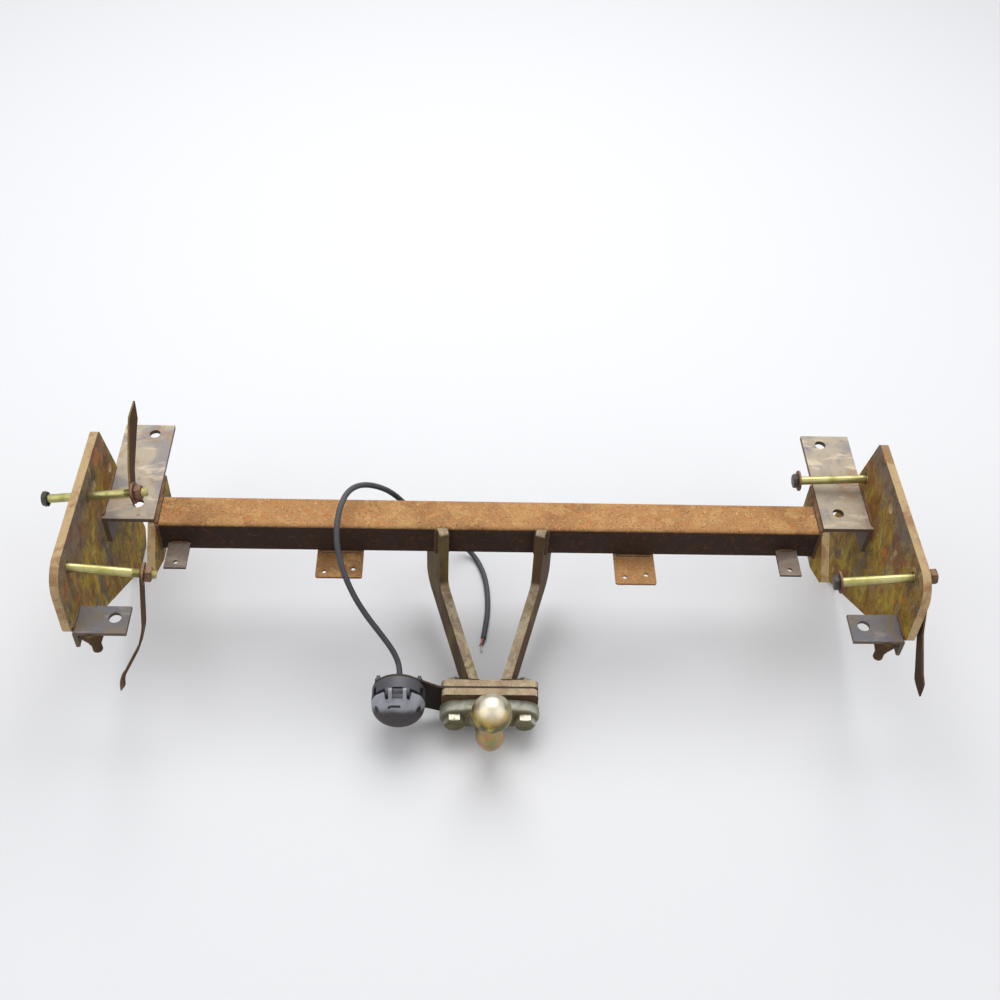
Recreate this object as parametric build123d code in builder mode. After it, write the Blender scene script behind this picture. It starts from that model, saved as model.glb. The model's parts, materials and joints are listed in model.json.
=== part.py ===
from build123d import *
import math
import os

# Towbar for a vehicle with two chassis rails: a square crossbar between two tall side plates,
# two converging arms that carry a 50 mm coupling ball, and a seven-pin socket with its cable.
# Frame: millimetres, +X to the right seen from behind the vehicle, +Y towards the vehicle, +Z up.
# The origin is the centre of the coupling ball. Most places are given from the crossbar's centre:
# across_plane, level_plane, facing_plane and at() turn them into the frame.

# Crossbar
bar_rise = 64.0
bar_size = 50.0
bar_wall = 4.0
bar_corner = 6.0
bar_length = 854.0
floor_drop = 172.0

# End plates, welded over the bar's ends: outline as (Y, Z) from the bar
end_plate_thickness = 10.0
end_plate_nose = 46.0
end_plate_tail = 35.0
end_plate_drop = 20.0

# Side plates: outline as (Y, Z) from the bar
rail_gap = 57.0
side_thickness = 10.0
side_apex = (46.0, 120.0)
side_top_front = (-195.0, 125.0)
side_nose = (-200.0, 32.0)
side_chin = (-180.0, 10.0)
side_throat = (-94.0, -62.0)
side_foot_front = 60.0
side_foot_back = 105.0
side_heel = (120.0, -150.0)
side_waist = (70.0, 42.0)
rail_hole_play = 2.5
rail_holes = {"rear": (50.0, 50.0), "middle": (-43.0, 95.0), "front": (-155.0, 97.0)}

# Top brackets: an angle on each side that the chassis rail sits on
bracket_thickness = 6.0
bracket_lap = 8.0
bracket_front = -22.0
bracket_back = 148.0
bracket_leg = 45.0
bracket_root = 5.0
bracket_hole = 14.5
bracket_hole_in = 24.0
bracket_hole_backs = (5.0, 131.0)
bracket_corner_cut = 24.0
bracket_bolt = 12.0
bracket_bolt_place = (56.0, 6.0)

# Foot brackets: a short angle on each side at the plate's front
foot_thickness = 5.0
foot_lap = 6.0
foot_front = -200.0
foot_back = -160.0
foot_level = 30.0
foot_leg = 28.0
foot_hole = 15.0
foot_hole_place = (17.0, -177.0)
foot_bolt = 8.0
foot_bolt_place = (-168.0, 12.0)
stud_size = 16.0
stud_tip = 12.0
stud_length = 40.0
stud_in = 20.0
stud_back = -190.0

# Arms from the bar to the coupling
arm_thickness = 12.0
arm_spread = 61.0
arm_nut_room = 12.0
arm_proud = 11.0
arm_leg_back = 24.0
arm_knee_drop = 78.0
arm_tip_drop = 103.0
arm_depth = 62.0
arm_knee_radius = 16.0
arm_heel_radius = 26.0

# Flange stack, front to back: forging, spacer plate, socket plate, arm flange plate
flange_reach = 168.0
flange_width = 124.0
flange_top_drop = 105.0
flange_corner = 8.0
arm_flange_thickness = 10.0
socket_plate_thickness = 3.0
spacer_thickness = 10.0
ear_thickness = 16.0
ear_radius = 18.5
ear_middle_radius = 27.0
ball_bolt = 16.0
ball_bolt_pitch = 90.0
ball_bolt_drop = 136.0
ball_bolt_length = 60.0
ball_bolt_clearance = 1.0
spring_washer_thickness = 3.5

# Coupling ball and its neck
ball_radius = 25.0
ball_reach = 38.0
ball_flat_radius = 8.0
neck_radius = 14.5
neck_bend = 22.0
neck_width = 40.0
neck_depth = 36.0
neck_corner = 13.0
root_width = 58.0
root_depth = 50.0
root_corner = 20.0

# Bumper tabs on the bar: middle X, width, front edge, and holes as (X from the middle, Y)
tab_thickness = 3.0
tab_hole = 6.0
wide_tabs = {
    "left": (-196.0, 60.0, -67.0, ((-19.0, -58.0), (18.0, -53.0))),
    "right": (187.5, 53.0, -72.0, ((-14.0, -61.0), (14.0, -57.0))),
}
wide_tab_back = -6.0
narrow_tab_wide = 28.0
narrow_tab_top = -4.0
narrow_tab_bottom = -57.0
narrow_tab_hole_drop = 48.0
narrow_tabs = {"left": -402.0, "right": 387.0}

# Loose chassis bolts: side, hole, droop in degrees, head off the plate, nut from the head
rail_bolt = 12.0
rail_bolt_length = 122.0
rail_washer_across = 26.0
rail_washer_thickness = 2.5
rail_bolts = {
    "left_front": (-1, "front", 7.0, 0.0, 97.0),
    "left_middle": (-1, "middle", -7.0, 38.0, 107.0),
    "right_front": (1, "front", 7.0, 0.0, 90.0),
    "right_rear": (1, "rear", 3.5, 0.0, 96.0),
}

# Straps welded to the loose bolts: place along the shank, angle from +Y towards +Z, length
strap_width = 12.0
strap_thickness = 2.0
straps = {
    "left_front": (97.0, 232.0, 112.0),
    "left_middle": (107.0, 84.0, 118.0),
    "right_front": (-12.6, 262.0, 105.0),
}

# Seven-pin socket: its axis is X, Z from the bar, and depths are measured from the socket plate
socket_x = -116.0
socket_drop = 112.0
socket_plate_round = 33.0
socket_plate_top_drop = 96.0
socket_plate_bottom_drop = 156.0
drum_radius = 34.0
drum_depth = 17.0
barrel_wall = 3.5
barrel_depth = 34.0
bore_radius = 24.0
bore_floor = 9.0
seal_thickness = 1.0
insert_gap = 0.2
insert_thickness = 8.0
contact_radius = 2.4
contact_hole = 1.2
contact_circle = 15.0
contact_length = 8.0
screw_size = 5.0
screw_circle = 30.0
screw_head_radius = 4.2
screw_head_height = 3.0
screw_length = 16.0
recess_radius = 5.2
recess_floor = 5.0
lid_gap = 0.4
lid_face = 4.0
lid_dome = 3.0
lid_skirt = 14.0
lid_skirt_wall = 3.0
lid_notch = 17.0
rib_width = 9.0
rib_length = 46.0
rib_height = 3.0
pin_radius = 1.5
pin_length = 30.0
hinge_lift = 38.0
hinge_depth = 26.0
knuckle_radius = 4.2
ear_span = 3.5
lid_knuckle_span = 4.5
knuckle_play = 0.25
pin_play = 0.05
spring_radius = 3.2

# Cable: it leaves the gland, goes over the bar, down behind it and along the floor
cable_radius = 3.75
gland_radius = 11.0
gland_tail_radius = 6.5
gland_length = 17.0
gland_tail = 14.0
core_radius = 1.0
core_circle = 1.7
core_lengths = (16.0, 24.0, 12.0)
cable_reach = 0.45

# Fastener proportions, as multiples of the thread
hex_across = 1.5
hex_head = 0.63
hex_nut = 0.82
corner_turn = 60.0

half_bar = bar_size / 2
end_x = bar_length / 2
inner_face = end_x + end_plate_thickness
plate_in = inner_face + rail_gap
plate_out = plate_in + side_thickness
socket_plate_back = flange_reach + arm_flange_thickness
socket_face = socket_plate_back + socket_plate_thickness
spacer_front = socket_face + spacer_thickness
forging_face = spacer_front + ear_thickness
bar_back = forging_face + ball_reach
arm_pinch = ball_bolt_pitch / 2 - ball_bolt * hex_across / 2 - arm_nut_room
rail_hole = rail_bolt + rail_hole_play
barrel_radius = bore_radius + barrel_wall
sides = {"left": -1, "right": 1}


def at(x, y, z):
    """A point given from the bar's centre, in the frame."""
    return (x, bar_back + y, bar_rise + z)


def across_plane(x):
    """Plane that faces +X, its x along +Y and its y along +Z from the bar's centre."""
    return Plane(origin=at(x, 0, 0), x_dir=(0, 1, 0), z_dir=(1, 0, 0))


def level_plane(z):
    """Plane that faces +Z, its x along +X and its y along +Y from the bar's centre."""
    return Plane(origin=at(0, 0, z), x_dir=(1, 0, 0), z_dir=(0, 0, 1))


def facing_plane(reach, x=0.0, drop=0.0):
    """Plane that faces the rear of the vehicle, its x along +X and its y along +Z."""
    return Plane(origin=at(x, -reach, -drop), x_dir=(1, 0, 0), z_dir=(0, -1, 0))


def write(part, name):
    """Labels a finished piece and writes it as one file."""
    part.label = name
    os.makedirs("parts", exist_ok=True)
    export_step(part, "parts/" + name + ".step")


def hexagon(plane, size, height, hole=0.0):
    """A hexagonal head or nut that stands on a plane, with the corners of its far face turned off."""
    flat = size * hex_across / 2
    with BuildPart() as block:
        with BuildSketch(plane):
            RegularPolygon(flat, 6, major_radius=False)
        extrude(amount=height)
        with BuildSketch(plane):
            Circle(flat + height * math.tan(math.radians(corner_turn)))
        extrude(amount=height, taper=corner_turn, mode=Mode.INTERSECT)
        if hole:
            with BuildSketch(plane):
                Circle(hole / 2)
            extrude(amount=height, mode=Mode.SUBTRACT)
    return block.part


def hex_bolt(plane, size, length):
    """A hexagon bolt: its shank runs along the plane's normal, and its head stands behind the plane."""
    behind = Plane(origin=plane.origin, x_dir=plane.x_dir, z_dir=-plane.z_dir)
    head = hexagon(behind, size, size * hex_head)
    with BuildPart() as screw:
        with BuildSketch(plane):
            Circle(size / 2)
        extrude(amount=length)
        chamfer(screw.edges().sort_by(Axis(plane.origin, plane.z_dir))[-1], size / 12)
        add(head)
    return screw.part


def washer(plane, hole, across, thickness):
    """A flat ring that stands on a plane."""
    with BuildPart() as ring:
        with BuildSketch(plane):
            Circle(across / 2)
            Circle(hole / 2, mode=Mode.SUBTRACT)
        extrude(amount=thickness)
    return ring.part


def group(parts):
    """Separate solids as one piece of several solids."""
    return Part(children=list(parts))


# Crossbar: a square tube with rounded corners
with BuildPart() as crossbar:
    with BuildSketch(across_plane(-end_x)):
        RectangleRounded(bar_size, bar_size, bar_corner)
        inner = bar_size - 2 * bar_wall
        RectangleRounded(inner, inner, bar_corner - bar_wall, mode=Mode.SUBTRACT)
    extrude(amount=bar_length)
write(crossbar.part, "crossbar")

# End plates: the front edge slopes down and forward to a nose
for hand, side in sides.items():
    with BuildPart() as end_plate:
        with BuildSketch(across_plane(side * end_x)):
            with BuildLine():
                FilletPolyline(
                    (-half_bar, half_bar),
                    (-half_bar - end_plate_nose, -half_bar + 7),
                    (-half_bar - end_plate_nose + 5, -half_bar),
                    (-half_bar, -half_bar - end_plate_drop),
                    (half_bar + end_plate_tail, -half_bar - end_plate_drop),
                    (half_bar + end_plate_tail, half_bar),
                    radius=[0, 2, 4, 8, 14, 0],
                    close=True,
                )
            make_face()
        extrude(amount=side * end_plate_thickness)
    write(end_plate.part, "end_plate_" + hand)

# Side plates: the nose, the throat and the heel are rounded, and the bolt holes go through
for hand, side in sides.items():
    with BuildPart() as side_plate:
        with BuildSketch(across_plane(side * plate_in)):
            with BuildLine():
                FilletPolyline(
                    side_apex,
                    side_top_front,
                    side_nose,
                    side_chin,
                    side_throat,
                    (side_foot_front, -floor_drop),
                    (side_foot_back, -floor_drop),
                    side_heel,
                    side_waist,
                    radius=[8, 34, 10, 12, 30, 8, 5, 8, 30],
                    close=True,
                )
            make_face()
            with Locations(*rail_holes.values()):
                Circle(rail_hole / 2, mode=Mode.SUBTRACT)
            with Locations(bracket_bolt_place):
                Circle((bracket_bolt + 1) / 2, mode=Mode.SUBTRACT)
            with Locations(foot_bolt_place):
                Circle((foot_bolt + 1) / 2, mode=Mode.SUBTRACT)
        extrude(amount=side * side_thickness)
    write(side_plate.part, "side_plate_" + hand)


def angle(side, inboard, front, back, top, thickness, leg, root):
    """An angle along Y: a level leg inboard of the side plate, and a leg down its inner face."""
    with BuildPart() as section:
        with BuildSketch(facing_plane(-back)):
            with BuildLine():
                FilletPolyline(
                    (side * inboard, top),
                    (side * plate_in, top),
                    (side * plate_in, top - leg),
                    (side * (plate_in - thickness), top - leg),
                    (side * (plate_in - thickness), top - thickness),
                    (side * inboard, top - thickness),
                    radius=[1, 3, 0, 2, root, 1],
                    close=True,
                )
            make_face()
        extrude(amount=back - front)
    return section.part


# Top brackets, with two holes for the rail and the rear outer corner cut away
bracket_top = half_bar + bracket_thickness
for hand, side in sides.items():
    blank = angle(side, inner_face - bracket_lap, bracket_front, bracket_back, bracket_top,
                  bracket_thickness, bracket_leg, bracket_root)
    with BuildPart() as top_bracket:
        add(blank)
        with BuildSketch(level_plane(bracket_top)):
            with Locations(*[(side * (inner_face - bracket_lap + bracket_hole_in), back)
                             for back in bracket_hole_backs]):
                Circle(bracket_hole / 2)
        extrude(amount=-bracket_thickness, mode=Mode.SUBTRACT)
        with BuildSketch(level_plane(bracket_top)):
            with BuildLine():
                Polyline(
                    (side * plate_in, bracket_back),
                    (side * plate_in, bracket_back - bracket_corner_cut),
                    (side * (plate_in - bracket_corner_cut), bracket_back),
                    close=True,
                )
            make_face()
        extrude(amount=-bracket_leg, mode=Mode.SUBTRACT)
        with BuildSketch(across_plane(side * plate_in)):
            with Locations(bracket_bolt_place):
                Circle((bracket_bolt + 1) / 2)
        extrude(amount=-side * bracket_thickness, mode=Mode.SUBTRACT)
    write(top_bracket.part, "top_bracket_" + hand)

# Foot brackets, with one hole for the rail
for hand, side in sides.items():
    blank = angle(side, inner_face - foot_lap, foot_front, foot_back, foot_level,
                  foot_thickness, foot_leg, 3)
    with BuildPart() as foot_bracket:
        add(blank)
        with BuildSketch(level_plane(foot_level)):
            with Locations((side * (inner_face - foot_lap + foot_hole_place[0]), foot_hole_place[1])):
                Circle(foot_hole / 2)
        extrude(amount=-foot_thickness, mode=Mode.SUBTRACT)
        with BuildSketch(across_plane(side * plate_in)):
            with Locations(foot_bolt_place):
                Circle((foot_bolt + 1) / 2)
        extrude(amount=-side * foot_thickness, mode=Mode.SUBTRACT)
    write(foot_bracket.part, "foot_bracket_" + hand)


def plate_bolts(size, place, inner_thickness, name):
    """Bolts that hold an angle to each side plate, heads outside, and their nuts."""
    screws = []
    nuts = []
    grip = side_thickness + inner_thickness
    for side in sides.values():
        outer = Plane(origin=at(side * plate_out, *place), x_dir=(0, 1, 0), z_dir=(-side, 0, 0))
        screws.append(hex_bolt(outer, size, grip + size * hex_nut + size / 4))
        nuts.append(hexagon(outer.offset(grip), size, size * hex_nut, size))
    write(group(screws), name + "_bolts")
    write(group(nuts), name + "_nuts")


plate_bolts(bracket_bolt, bracket_bolt_place, bracket_thickness, "bracket")
plate_bolts(foot_bolt, foot_bolt_place, foot_thickness, "foot")

# Studs under the foot brackets, stepped to a thinner tip, and their nuts
studs = []
stud_nuts = []
for side in sides.values():
    under = Plane(origin=at(side * (plate_in - stud_in), stud_back, foot_level - foot_thickness),
                  x_dir=(0, 1, 0), z_dir=(0, 0, -1))
    with BuildPart() as stud:
        with BuildSketch(under):
            Circle(stud_size / 2)
        extrude(amount=stud_length * 0.6)
        with BuildSketch(under.offset(stud_length * 0.6)):
            Circle(stud_tip / 2)
        extrude(amount=stud_length * 0.4)
    studs.append(stud.part)
    stud_nuts.append(hexagon(under, stud_size, stud_size * hex_nut, stud_size))
write(group(studs), "foot_studs")
write(group(stud_nuts), "foot_stud_nuts")

# Arms: flat plates on edge that stand in front of and under the bar, then converge on the flange
arm_front = half_bar + arm_proud
arm_lean = math.degrees(math.atan2(arm_spread - arm_pinch, flange_reach - arm_front))
for hand, side in sides.items():
    lean = math.radians(arm_lean)
    grow = 1 / math.cos(lean)
    arm_plane = Plane(
        origin=at(side * arm_pinch, -flange_reach, 0),
        x_dir=(side * math.sin(lean), math.cos(lean), 0),
        z_dir=(math.cos(lean), -side * math.sin(lean), 0),
    )
    tip = -10.0
    front = (flange_reach - arm_front) * grow
    back = (flange_reach + arm_leg_back) * grow
    slope = (arm_tip_drop - arm_knee_drop) / front
    with BuildPart() as arm:
        with BuildSketch(arm_plane):
            with BuildLine():
                FilletPolyline(
                    (front, half_bar),
                    (front, -arm_knee_drop),
                    (tip, -arm_tip_drop + slope * tip),
                    (tip, -arm_tip_drop - arm_depth + slope * tip),
                    (back, -arm_knee_drop - arm_depth + slope * (back - front)),
                    (back, half_bar),
                    radius=[5, arm_knee_radius, 0, 0, arm_heel_radius, 0],
                    close=True,
                )
            make_face()
        extrude(amount=arm_thickness / 2, both=True)
        with BuildSketch(across_plane(-end_x)):
            RectangleRounded(bar_size, bar_size, bar_corner)
            with Locations((half_bar, half_bar)):
                Rectangle(bar_size, bar_size)
            with Locations((0, half_bar)):
                Rectangle(bar_size, bar_size)
        extrude(amount=bar_length, mode=Mode.SUBTRACT)
        with BuildSketch(facing_plane(flange_reach, 0, ball_bolt_drop)):
            Rectangle(bar_length, bar_length)
        extrude(amount=bar_size, mode=Mode.SUBTRACT)
    write(arm.part, "arm_" + hand)

# Arm flange plate and spacer plate: alike, bolted through at the ball's two bolts
flange_height = floor_drop - flange_top_drop
flange_middle = (floor_drop + flange_top_drop) / 2
bolt_places = [(-ball_bolt_pitch / 2, -ball_bolt_drop), (ball_bolt_pitch / 2, -ball_bolt_drop)]
for name, reach, thickness in (
    ("arm_flange_plate", flange_reach, arm_flange_thickness),
    ("spacer_plate", socket_face, spacer_thickness),
):
    with BuildPart() as flange:
        with BuildSketch(facing_plane(reach)):
            with Locations((0, -flange_middle)):
                RectangleRounded(flange_width, flange_height, flange_corner)
            with Locations(*bolt_places):
                Circle((ball_bolt + ball_bolt_clearance) / 2, mode=Mode.SUBTRACT)
        extrude(amount=thickness)
    write(flange.part, name)

# Socket plate: a thin plate clamped in the stack that runs out to the left behind the socket
screw_angles = (30.0, 150.0, 270.0)
with BuildPart() as socket_plate:
    with BuildSketch(facing_plane(socket_plate_back)):
        with Locations((0, -flange_middle)):
            RectangleRounded(flange_width, flange_height, flange_corner)
        plate_height = socket_plate_bottom_drop - socket_plate_top_drop
        with Locations((socket_x / 2, -socket_plate_top_drop - plate_height / 2)):
            Rectangle(-socket_x, plate_height)
        with Locations((socket_x, -socket_drop)):
            Circle(socket_plate_round + 2)
        with Locations(*bolt_places):
            Circle((ball_bolt + ball_bolt_clearance) / 2, mode=Mode.SUBTRACT)
        with Locations((socket_x, -socket_drop)):
            Circle(gland_radius + 0.5, mode=Mode.SUBTRACT)
            with PolarLocations(screw_circle, 3, start_angle=screw_angles[0]):
                Circle(screw_size / 2 + 0.3, mode=Mode.SUBTRACT)
    extrude(amount=socket_plate_thickness)
write(socket_plate.part, "socket_plate")

# Coupling ball, forged in one piece with its neck and its two-bolt flange
foot_z = -bar_rise + ball_bolt_drop
with BuildPart() as tow_ball:
    with BuildSketch(facing_plane(spacer_front, 0, ball_bolt_drop)):
        with Locations((-ball_bolt_pitch / 2, 0), (ball_bolt_pitch / 2, 0)):
            Circle(ear_radius)
        Circle(ear_middle_radius)
        make_hull()
    extrude(amount=ear_thickness)
    fillet(tow_ball.faces().sort_by(Axis.Y)[0].edges(), 2)
    with BuildSketch(facing_plane(forging_face, 0, ball_bolt_drop)):
        RectangleRounded(root_width, root_depth, root_corner)
    with BuildSketch(facing_plane(bar_back - neck_bend, 0, ball_bolt_drop)):
        RectangleRounded(neck_width, neck_depth, neck_corner)
    loft()
    with BuildSketch(Plane(origin=(0, neck_bend, -foot_z), x_dir=(1, 0, 0), z_dir=(0, -1, 0))):
        RectangleRounded(neck_width, neck_depth, neck_corner)
    bend_axis = Axis((0, neck_bend, -foot_z + neck_bend), (-1, 0, 0))
    revolve(axis=bend_axis, revolution_arc=90)
    with BuildSketch(Plane(origin=(0, 0, -foot_z + neck_bend))):
        RectangleRounded(neck_width, neck_depth, neck_corner)
    with BuildSketch(Plane(origin=(0, 0, -ball_radius - 3))):
        Circle(neck_radius)
    loft()
    with BuildSketch(Plane(origin=(0, 0, -ball_radius - 3))):
        Circle(neck_radius)
    extrude(amount=ball_radius)
    Sphere(ball_radius)
    flat_height = math.sqrt(ball_radius**2 - ball_flat_radius**2)
    with BuildSketch(Plane(origin=(0, 0, flat_height))):
        Circle(ball_radius)
    extrude(amount=ball_radius, mode=Mode.SUBTRACT)
    with BuildSketch(facing_plane(spacer_front, 0, ball_bolt_drop)):
        with Locations((-ball_bolt_pitch / 2, 0), (ball_bolt_pitch / 2, 0)):
            Circle((ball_bolt + ball_bolt_clearance) / 2)
    extrude(amount=ear_thickness, mode=Mode.SUBTRACT)
write(tow_ball.part, "tow_ball")

# Ball bolts from the front, with spring washers and nuts behind the arm flange plate
ball_bolts = []
ball_nuts = []
spring_washers = []
for x, z in bolt_places:
    front = Plane(origin=at(x, -forging_face, z), x_dir=(0, 0, 1), z_dir=(0, 1, 0))
    grip = forging_face - flange_reach
    ball_bolts.append(hex_bolt(front, ball_bolt, ball_bolt_length))
    spring_washers.append(washer(front.offset(grip), ball_bolt + ball_bolt_clearance,
                                 ball_bolt * hex_across, spring_washer_thickness))
    ball_nuts.append(hexagon(front.offset(grip + spring_washer_thickness), ball_bolt,
                             ball_bolt * hex_nut, ball_bolt))
write(group(ball_bolts), "ball_bolts")
write(group(spring_washers), "spring_washers")
write(group(ball_nuts), "ball_nuts")

# Bumper tabs: two wide ones level under the bar, and two narrow ones down its front face
for hand, (middle, width, front, holes) in wide_tabs.items():
    with BuildPart() as tab:
        with BuildSketch(level_plane(-half_bar - tab_thickness)):
            with Locations((middle, (front + wide_tab_back) / 2)):
                RectangleRounded(width, wide_tab_back - front, 3)
            with Locations(*[(middle + x, y) for x, y in holes]):
                Circle(tab_hole / 2, mode=Mode.SUBTRACT)
        extrude(amount=tab_thickness)
    write(tab.part, "wide_tab_" + hand)
for hand, middle in narrow_tabs.items():
    with BuildPart() as tab:
        with BuildSketch(facing_plane(half_bar)):
            with Locations((middle, (narrow_tab_top + narrow_tab_bottom) / 2)):
                RectangleRounded(narrow_tab_wide, narrow_tab_top - narrow_tab_bottom, 4)
            with Locations((middle, -narrow_tab_hole_drop)):
                Circle(tab_hole / 2, mode=Mode.SUBTRACT)
        extrude(amount=tab_thickness)
    write(tab.part, "narrow_tab_" + hand)


def shank_plane(name):
    """Plane under a loose bolt's head, its normal along the shank and its x along any strap."""
    side, hole, droop, stand, nut_at = rail_bolts[name]
    lie = math.radians(straps[name][1]) if name in straps else 0.0
    tilt = math.radians(droop)
    along = Vector(-side * math.cos(tilt), 0, -math.sin(tilt))
    corner = rail_bolt * hex_across / 2 / math.cos(math.radians(30))
    back = side_thickness / 2 / math.cos(tilt) + corner * abs(math.tan(tilt)) + 0.3 + stand
    middle = Vector(*at(side * (plate_in + side_thickness / 2), *rail_holes[hole]))
    return Plane(origin=middle - along * back, x_dir=(0, math.cos(lie), math.sin(lie)), z_dir=along)


# Loose chassis bolts, each with its nut and washer, carried in the side plates' holes
for name, (side, hole, droop, stand, nut_at) in rail_bolts.items():
    under = shank_plane(name)
    write(hex_bolt(under, rail_bolt, rail_bolt_length), "rail_bolt_" + name)
    write(hexagon(under.offset(nut_at), rail_bolt, rail_bolt * hex_nut, rail_bolt), "rail_nut_" + name)
    write(washer(under.offset(nut_at - rail_washer_thickness), rail_bolt, rail_washer_across,
                 rail_washer_thickness), "rail_washer_" + name)

# Straps: thin bars welded along one flat of a nut or head, which keep it from turning in the rail
for name, (along, lie, length) in straps.items():
    strap_plane = shank_plane(name).offset(along)
    flat = rail_bolt * hex_across / 2
    with BuildPart() as strap:
        with BuildSketch(strap_plane):
            with Locations((length / 2 - flat / 2, flat + strap_thickness / 2)):
                Rectangle(length, strap_thickness)
        extrude(amount=strap_width)
        fillet(strap.edges().filter_by(GeomType.LINE).sort_by(Axis(strap_plane.origin, strap_plane.x_dir))[-2:], 0.9)
    write(strap.part, "rail_strap_" + name)


def socket_plane(depth):
    """Plane across the socket at a depth in front of the socket plate, facing the plug."""
    return facing_plane(socket_face + depth, socket_x, socket_drop)


def hinge_plane(offset):
    """Plane across the lid's hinge at an offset along X, its x along +Y and its y along +Z."""
    return Plane(origin=at(socket_x + offset, -socket_face - hinge_depth, -socket_drop + hinge_lift),
                 x_dir=(0, 1, 0), z_dir=(1, 0, 0))


# Seal between the socket and its plate
with BuildPart() as socket_seal:
    with BuildSketch(socket_plane(0)):
        Circle(drum_radius)
        Circle(gland_radius + 0.5, mode=Mode.SUBTRACT)
        with PolarLocations(screw_circle, 3, start_angle=screw_angles[0]):
            Circle(screw_size / 2 + 0.3, mode=Mode.SUBTRACT)
    extrude(amount=seal_thickness)
write(socket_seal.part, "socket_seal")

# Socket body: a drum with three screw recesses, a barrel for the plug and two hinge ears
with BuildPart() as socket_body:
    with BuildSketch(socket_plane(seal_thickness)):
        Circle(drum_radius)
    extrude(amount=drum_depth - seal_thickness)
    with BuildSketch(socket_plane(drum_depth)):
        Circle(barrel_radius)
    extrude(amount=barrel_depth - drum_depth)
    for offset in (-pin_length / 2, pin_length / 2 - ear_span):
        with BuildSketch(hinge_plane(offset)):
            Circle(knuckle_radius)
            with Locations((1.5, -hinge_lift / 2 + barrel_radius / 2 - 4)):
                Rectangle(2 * knuckle_radius - 3, hinge_lift - barrel_radius + 8)
        extrude(amount=ear_span)
    with BuildSketch(socket_plane(bore_floor)):
        Circle(bore_radius)
    extrude(amount=barrel_depth, mode=Mode.SUBTRACT)
    with BuildSketch(socket_plane(recess_floor)):
        with PolarLocations(screw_circle, 3, start_angle=screw_angles[0]):
            Circle(recess_radius)
    extrude(amount=drum_depth - recess_floor, mode=Mode.SUBTRACT)
    with BuildSketch(socket_plane(0)):
        with PolarLocations(screw_circle, 3, start_angle=screw_angles[0]):
            Circle(screw_size / 2 + 0.3)
        Circle(gland_radius)
    extrude(amount=bore_floor, mode=Mode.SUBTRACT)
    with BuildSketch(hinge_plane(-pin_length)):
        Circle(pin_radius)
    extrude(amount=2 * pin_length, mode=Mode.SUBTRACT)
write(socket_body.part, "socket_body")

# Contact carrier and its seven tubular contacts
with BuildPart() as socket_insert:
    with BuildSketch(socket_plane(bore_floor)):
        Circle(bore_radius - insert_gap)
        Circle(contact_radius, mode=Mode.SUBTRACT)
        with PolarLocations(contact_circle, 6):
            Circle(contact_radius, mode=Mode.SUBTRACT)
    extrude(amount=insert_thickness)
write(socket_insert.part, "socket_insert")
with BuildPart() as socket_contacts:
    with BuildSketch(socket_plane(bore_floor)):
        Circle(contact_radius)
        Circle(contact_hole, mode=Mode.SUBTRACT)
        with PolarLocations(contact_circle, 6):
            Circle(contact_radius)
            Circle(contact_hole, mode=Mode.SUBTRACT)
    extrude(amount=insert_thickness + contact_length)
write(socket_contacts.part, "socket_contacts")

# Lid: a domed cap with a raised rib, a skirt over the barrel and two knuckles on the hinge pin
lid_back = barrel_depth + lid_gap
with BuildPart() as socket_lid:
    with BuildSketch(Plane(origin=socket_plane(0).origin, x_dir=(1, 0, 0), z_dir=(0, 0, 1))):
        with BuildLine():
            Line((0, -lid_back), (drum_radius, -lid_back))
            Line((drum_radius, -lid_back), (drum_radius, -lid_back - lid_face + 1))
            ThreePointArc(
                (drum_radius, -lid_back - lid_face + 1),
                (drum_radius * 0.55, -lid_back - lid_face - lid_dome * 0.72),
                (0, -lid_back - lid_face - lid_dome),
            )
            Line((0, -lid_back - lid_face - lid_dome), (0, -lid_back))
        make_face()
    revolve(axis=Axis(socket_plane(0).origin, (0, 1, 0)))
    with BuildSketch(socket_plane(lid_back)):
        Circle(drum_radius)
        Circle(drum_radius - lid_skirt_wall, mode=Mode.SUBTRACT)
    extrude(amount=-lid_skirt)
    with BuildSketch(socket_plane(lid_back)):
        with Locations((0, drum_radius)):
            Rectangle(2 * lid_notch, drum_radius)
    extrude(amount=-lid_skirt, mode=Mode.SUBTRACT)
    with BuildSketch(socket_plane(lid_back + 2)):
        with Locations((0, -2)):
            SlotOverall(rib_length, rib_width, rotation=90)
    extrude(amount=lid_face + lid_dome + rib_height - 2)
    knuckle_out = pin_length / 2 - ear_span - knuckle_play
    for offset in (-knuckle_out, knuckle_out - lid_knuckle_span):
        with BuildSketch(hinge_plane(offset)):
            Circle(knuckle_radius)
            with Locations((hinge_depth - lid_back - 1.5, -3)):
                Rectangle(3, 2 * knuckle_radius + 4)
            with Locations((hinge_depth - lid_back / 2 - hinge_depth / 2 - 0.7, 1)):
                Rectangle(lid_back - hinge_depth + 1.4, 2 * knuckle_radius - 2)
        extrude(amount=lid_knuckle_span)
    with BuildSketch(hinge_plane(-pin_length)):
        Circle(pin_radius + pin_play)
    extrude(amount=2 * pin_length, mode=Mode.SUBTRACT)
write(socket_lid.part, "socket_lid")

# Hinge pin and the torsion spring between the lid's knuckles
with BuildPart() as lid_hinge_pin:
    with BuildSketch(hinge_plane(-pin_length / 2)):
        Circle(pin_radius)
    extrude(amount=pin_length)
write(lid_hinge_pin.part, "lid_hinge_pin")
with BuildPart() as lid_spring:
    spring_half = knuckle_out - lid_knuckle_span - 0.4
    with BuildSketch(hinge_plane(-spring_half)):
        Circle(spring_radius)
        Circle(pin_radius, mode=Mode.SUBTRACT)
    extrude(amount=2 * spring_half)
write(lid_spring.part, "lid_spring")

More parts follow.
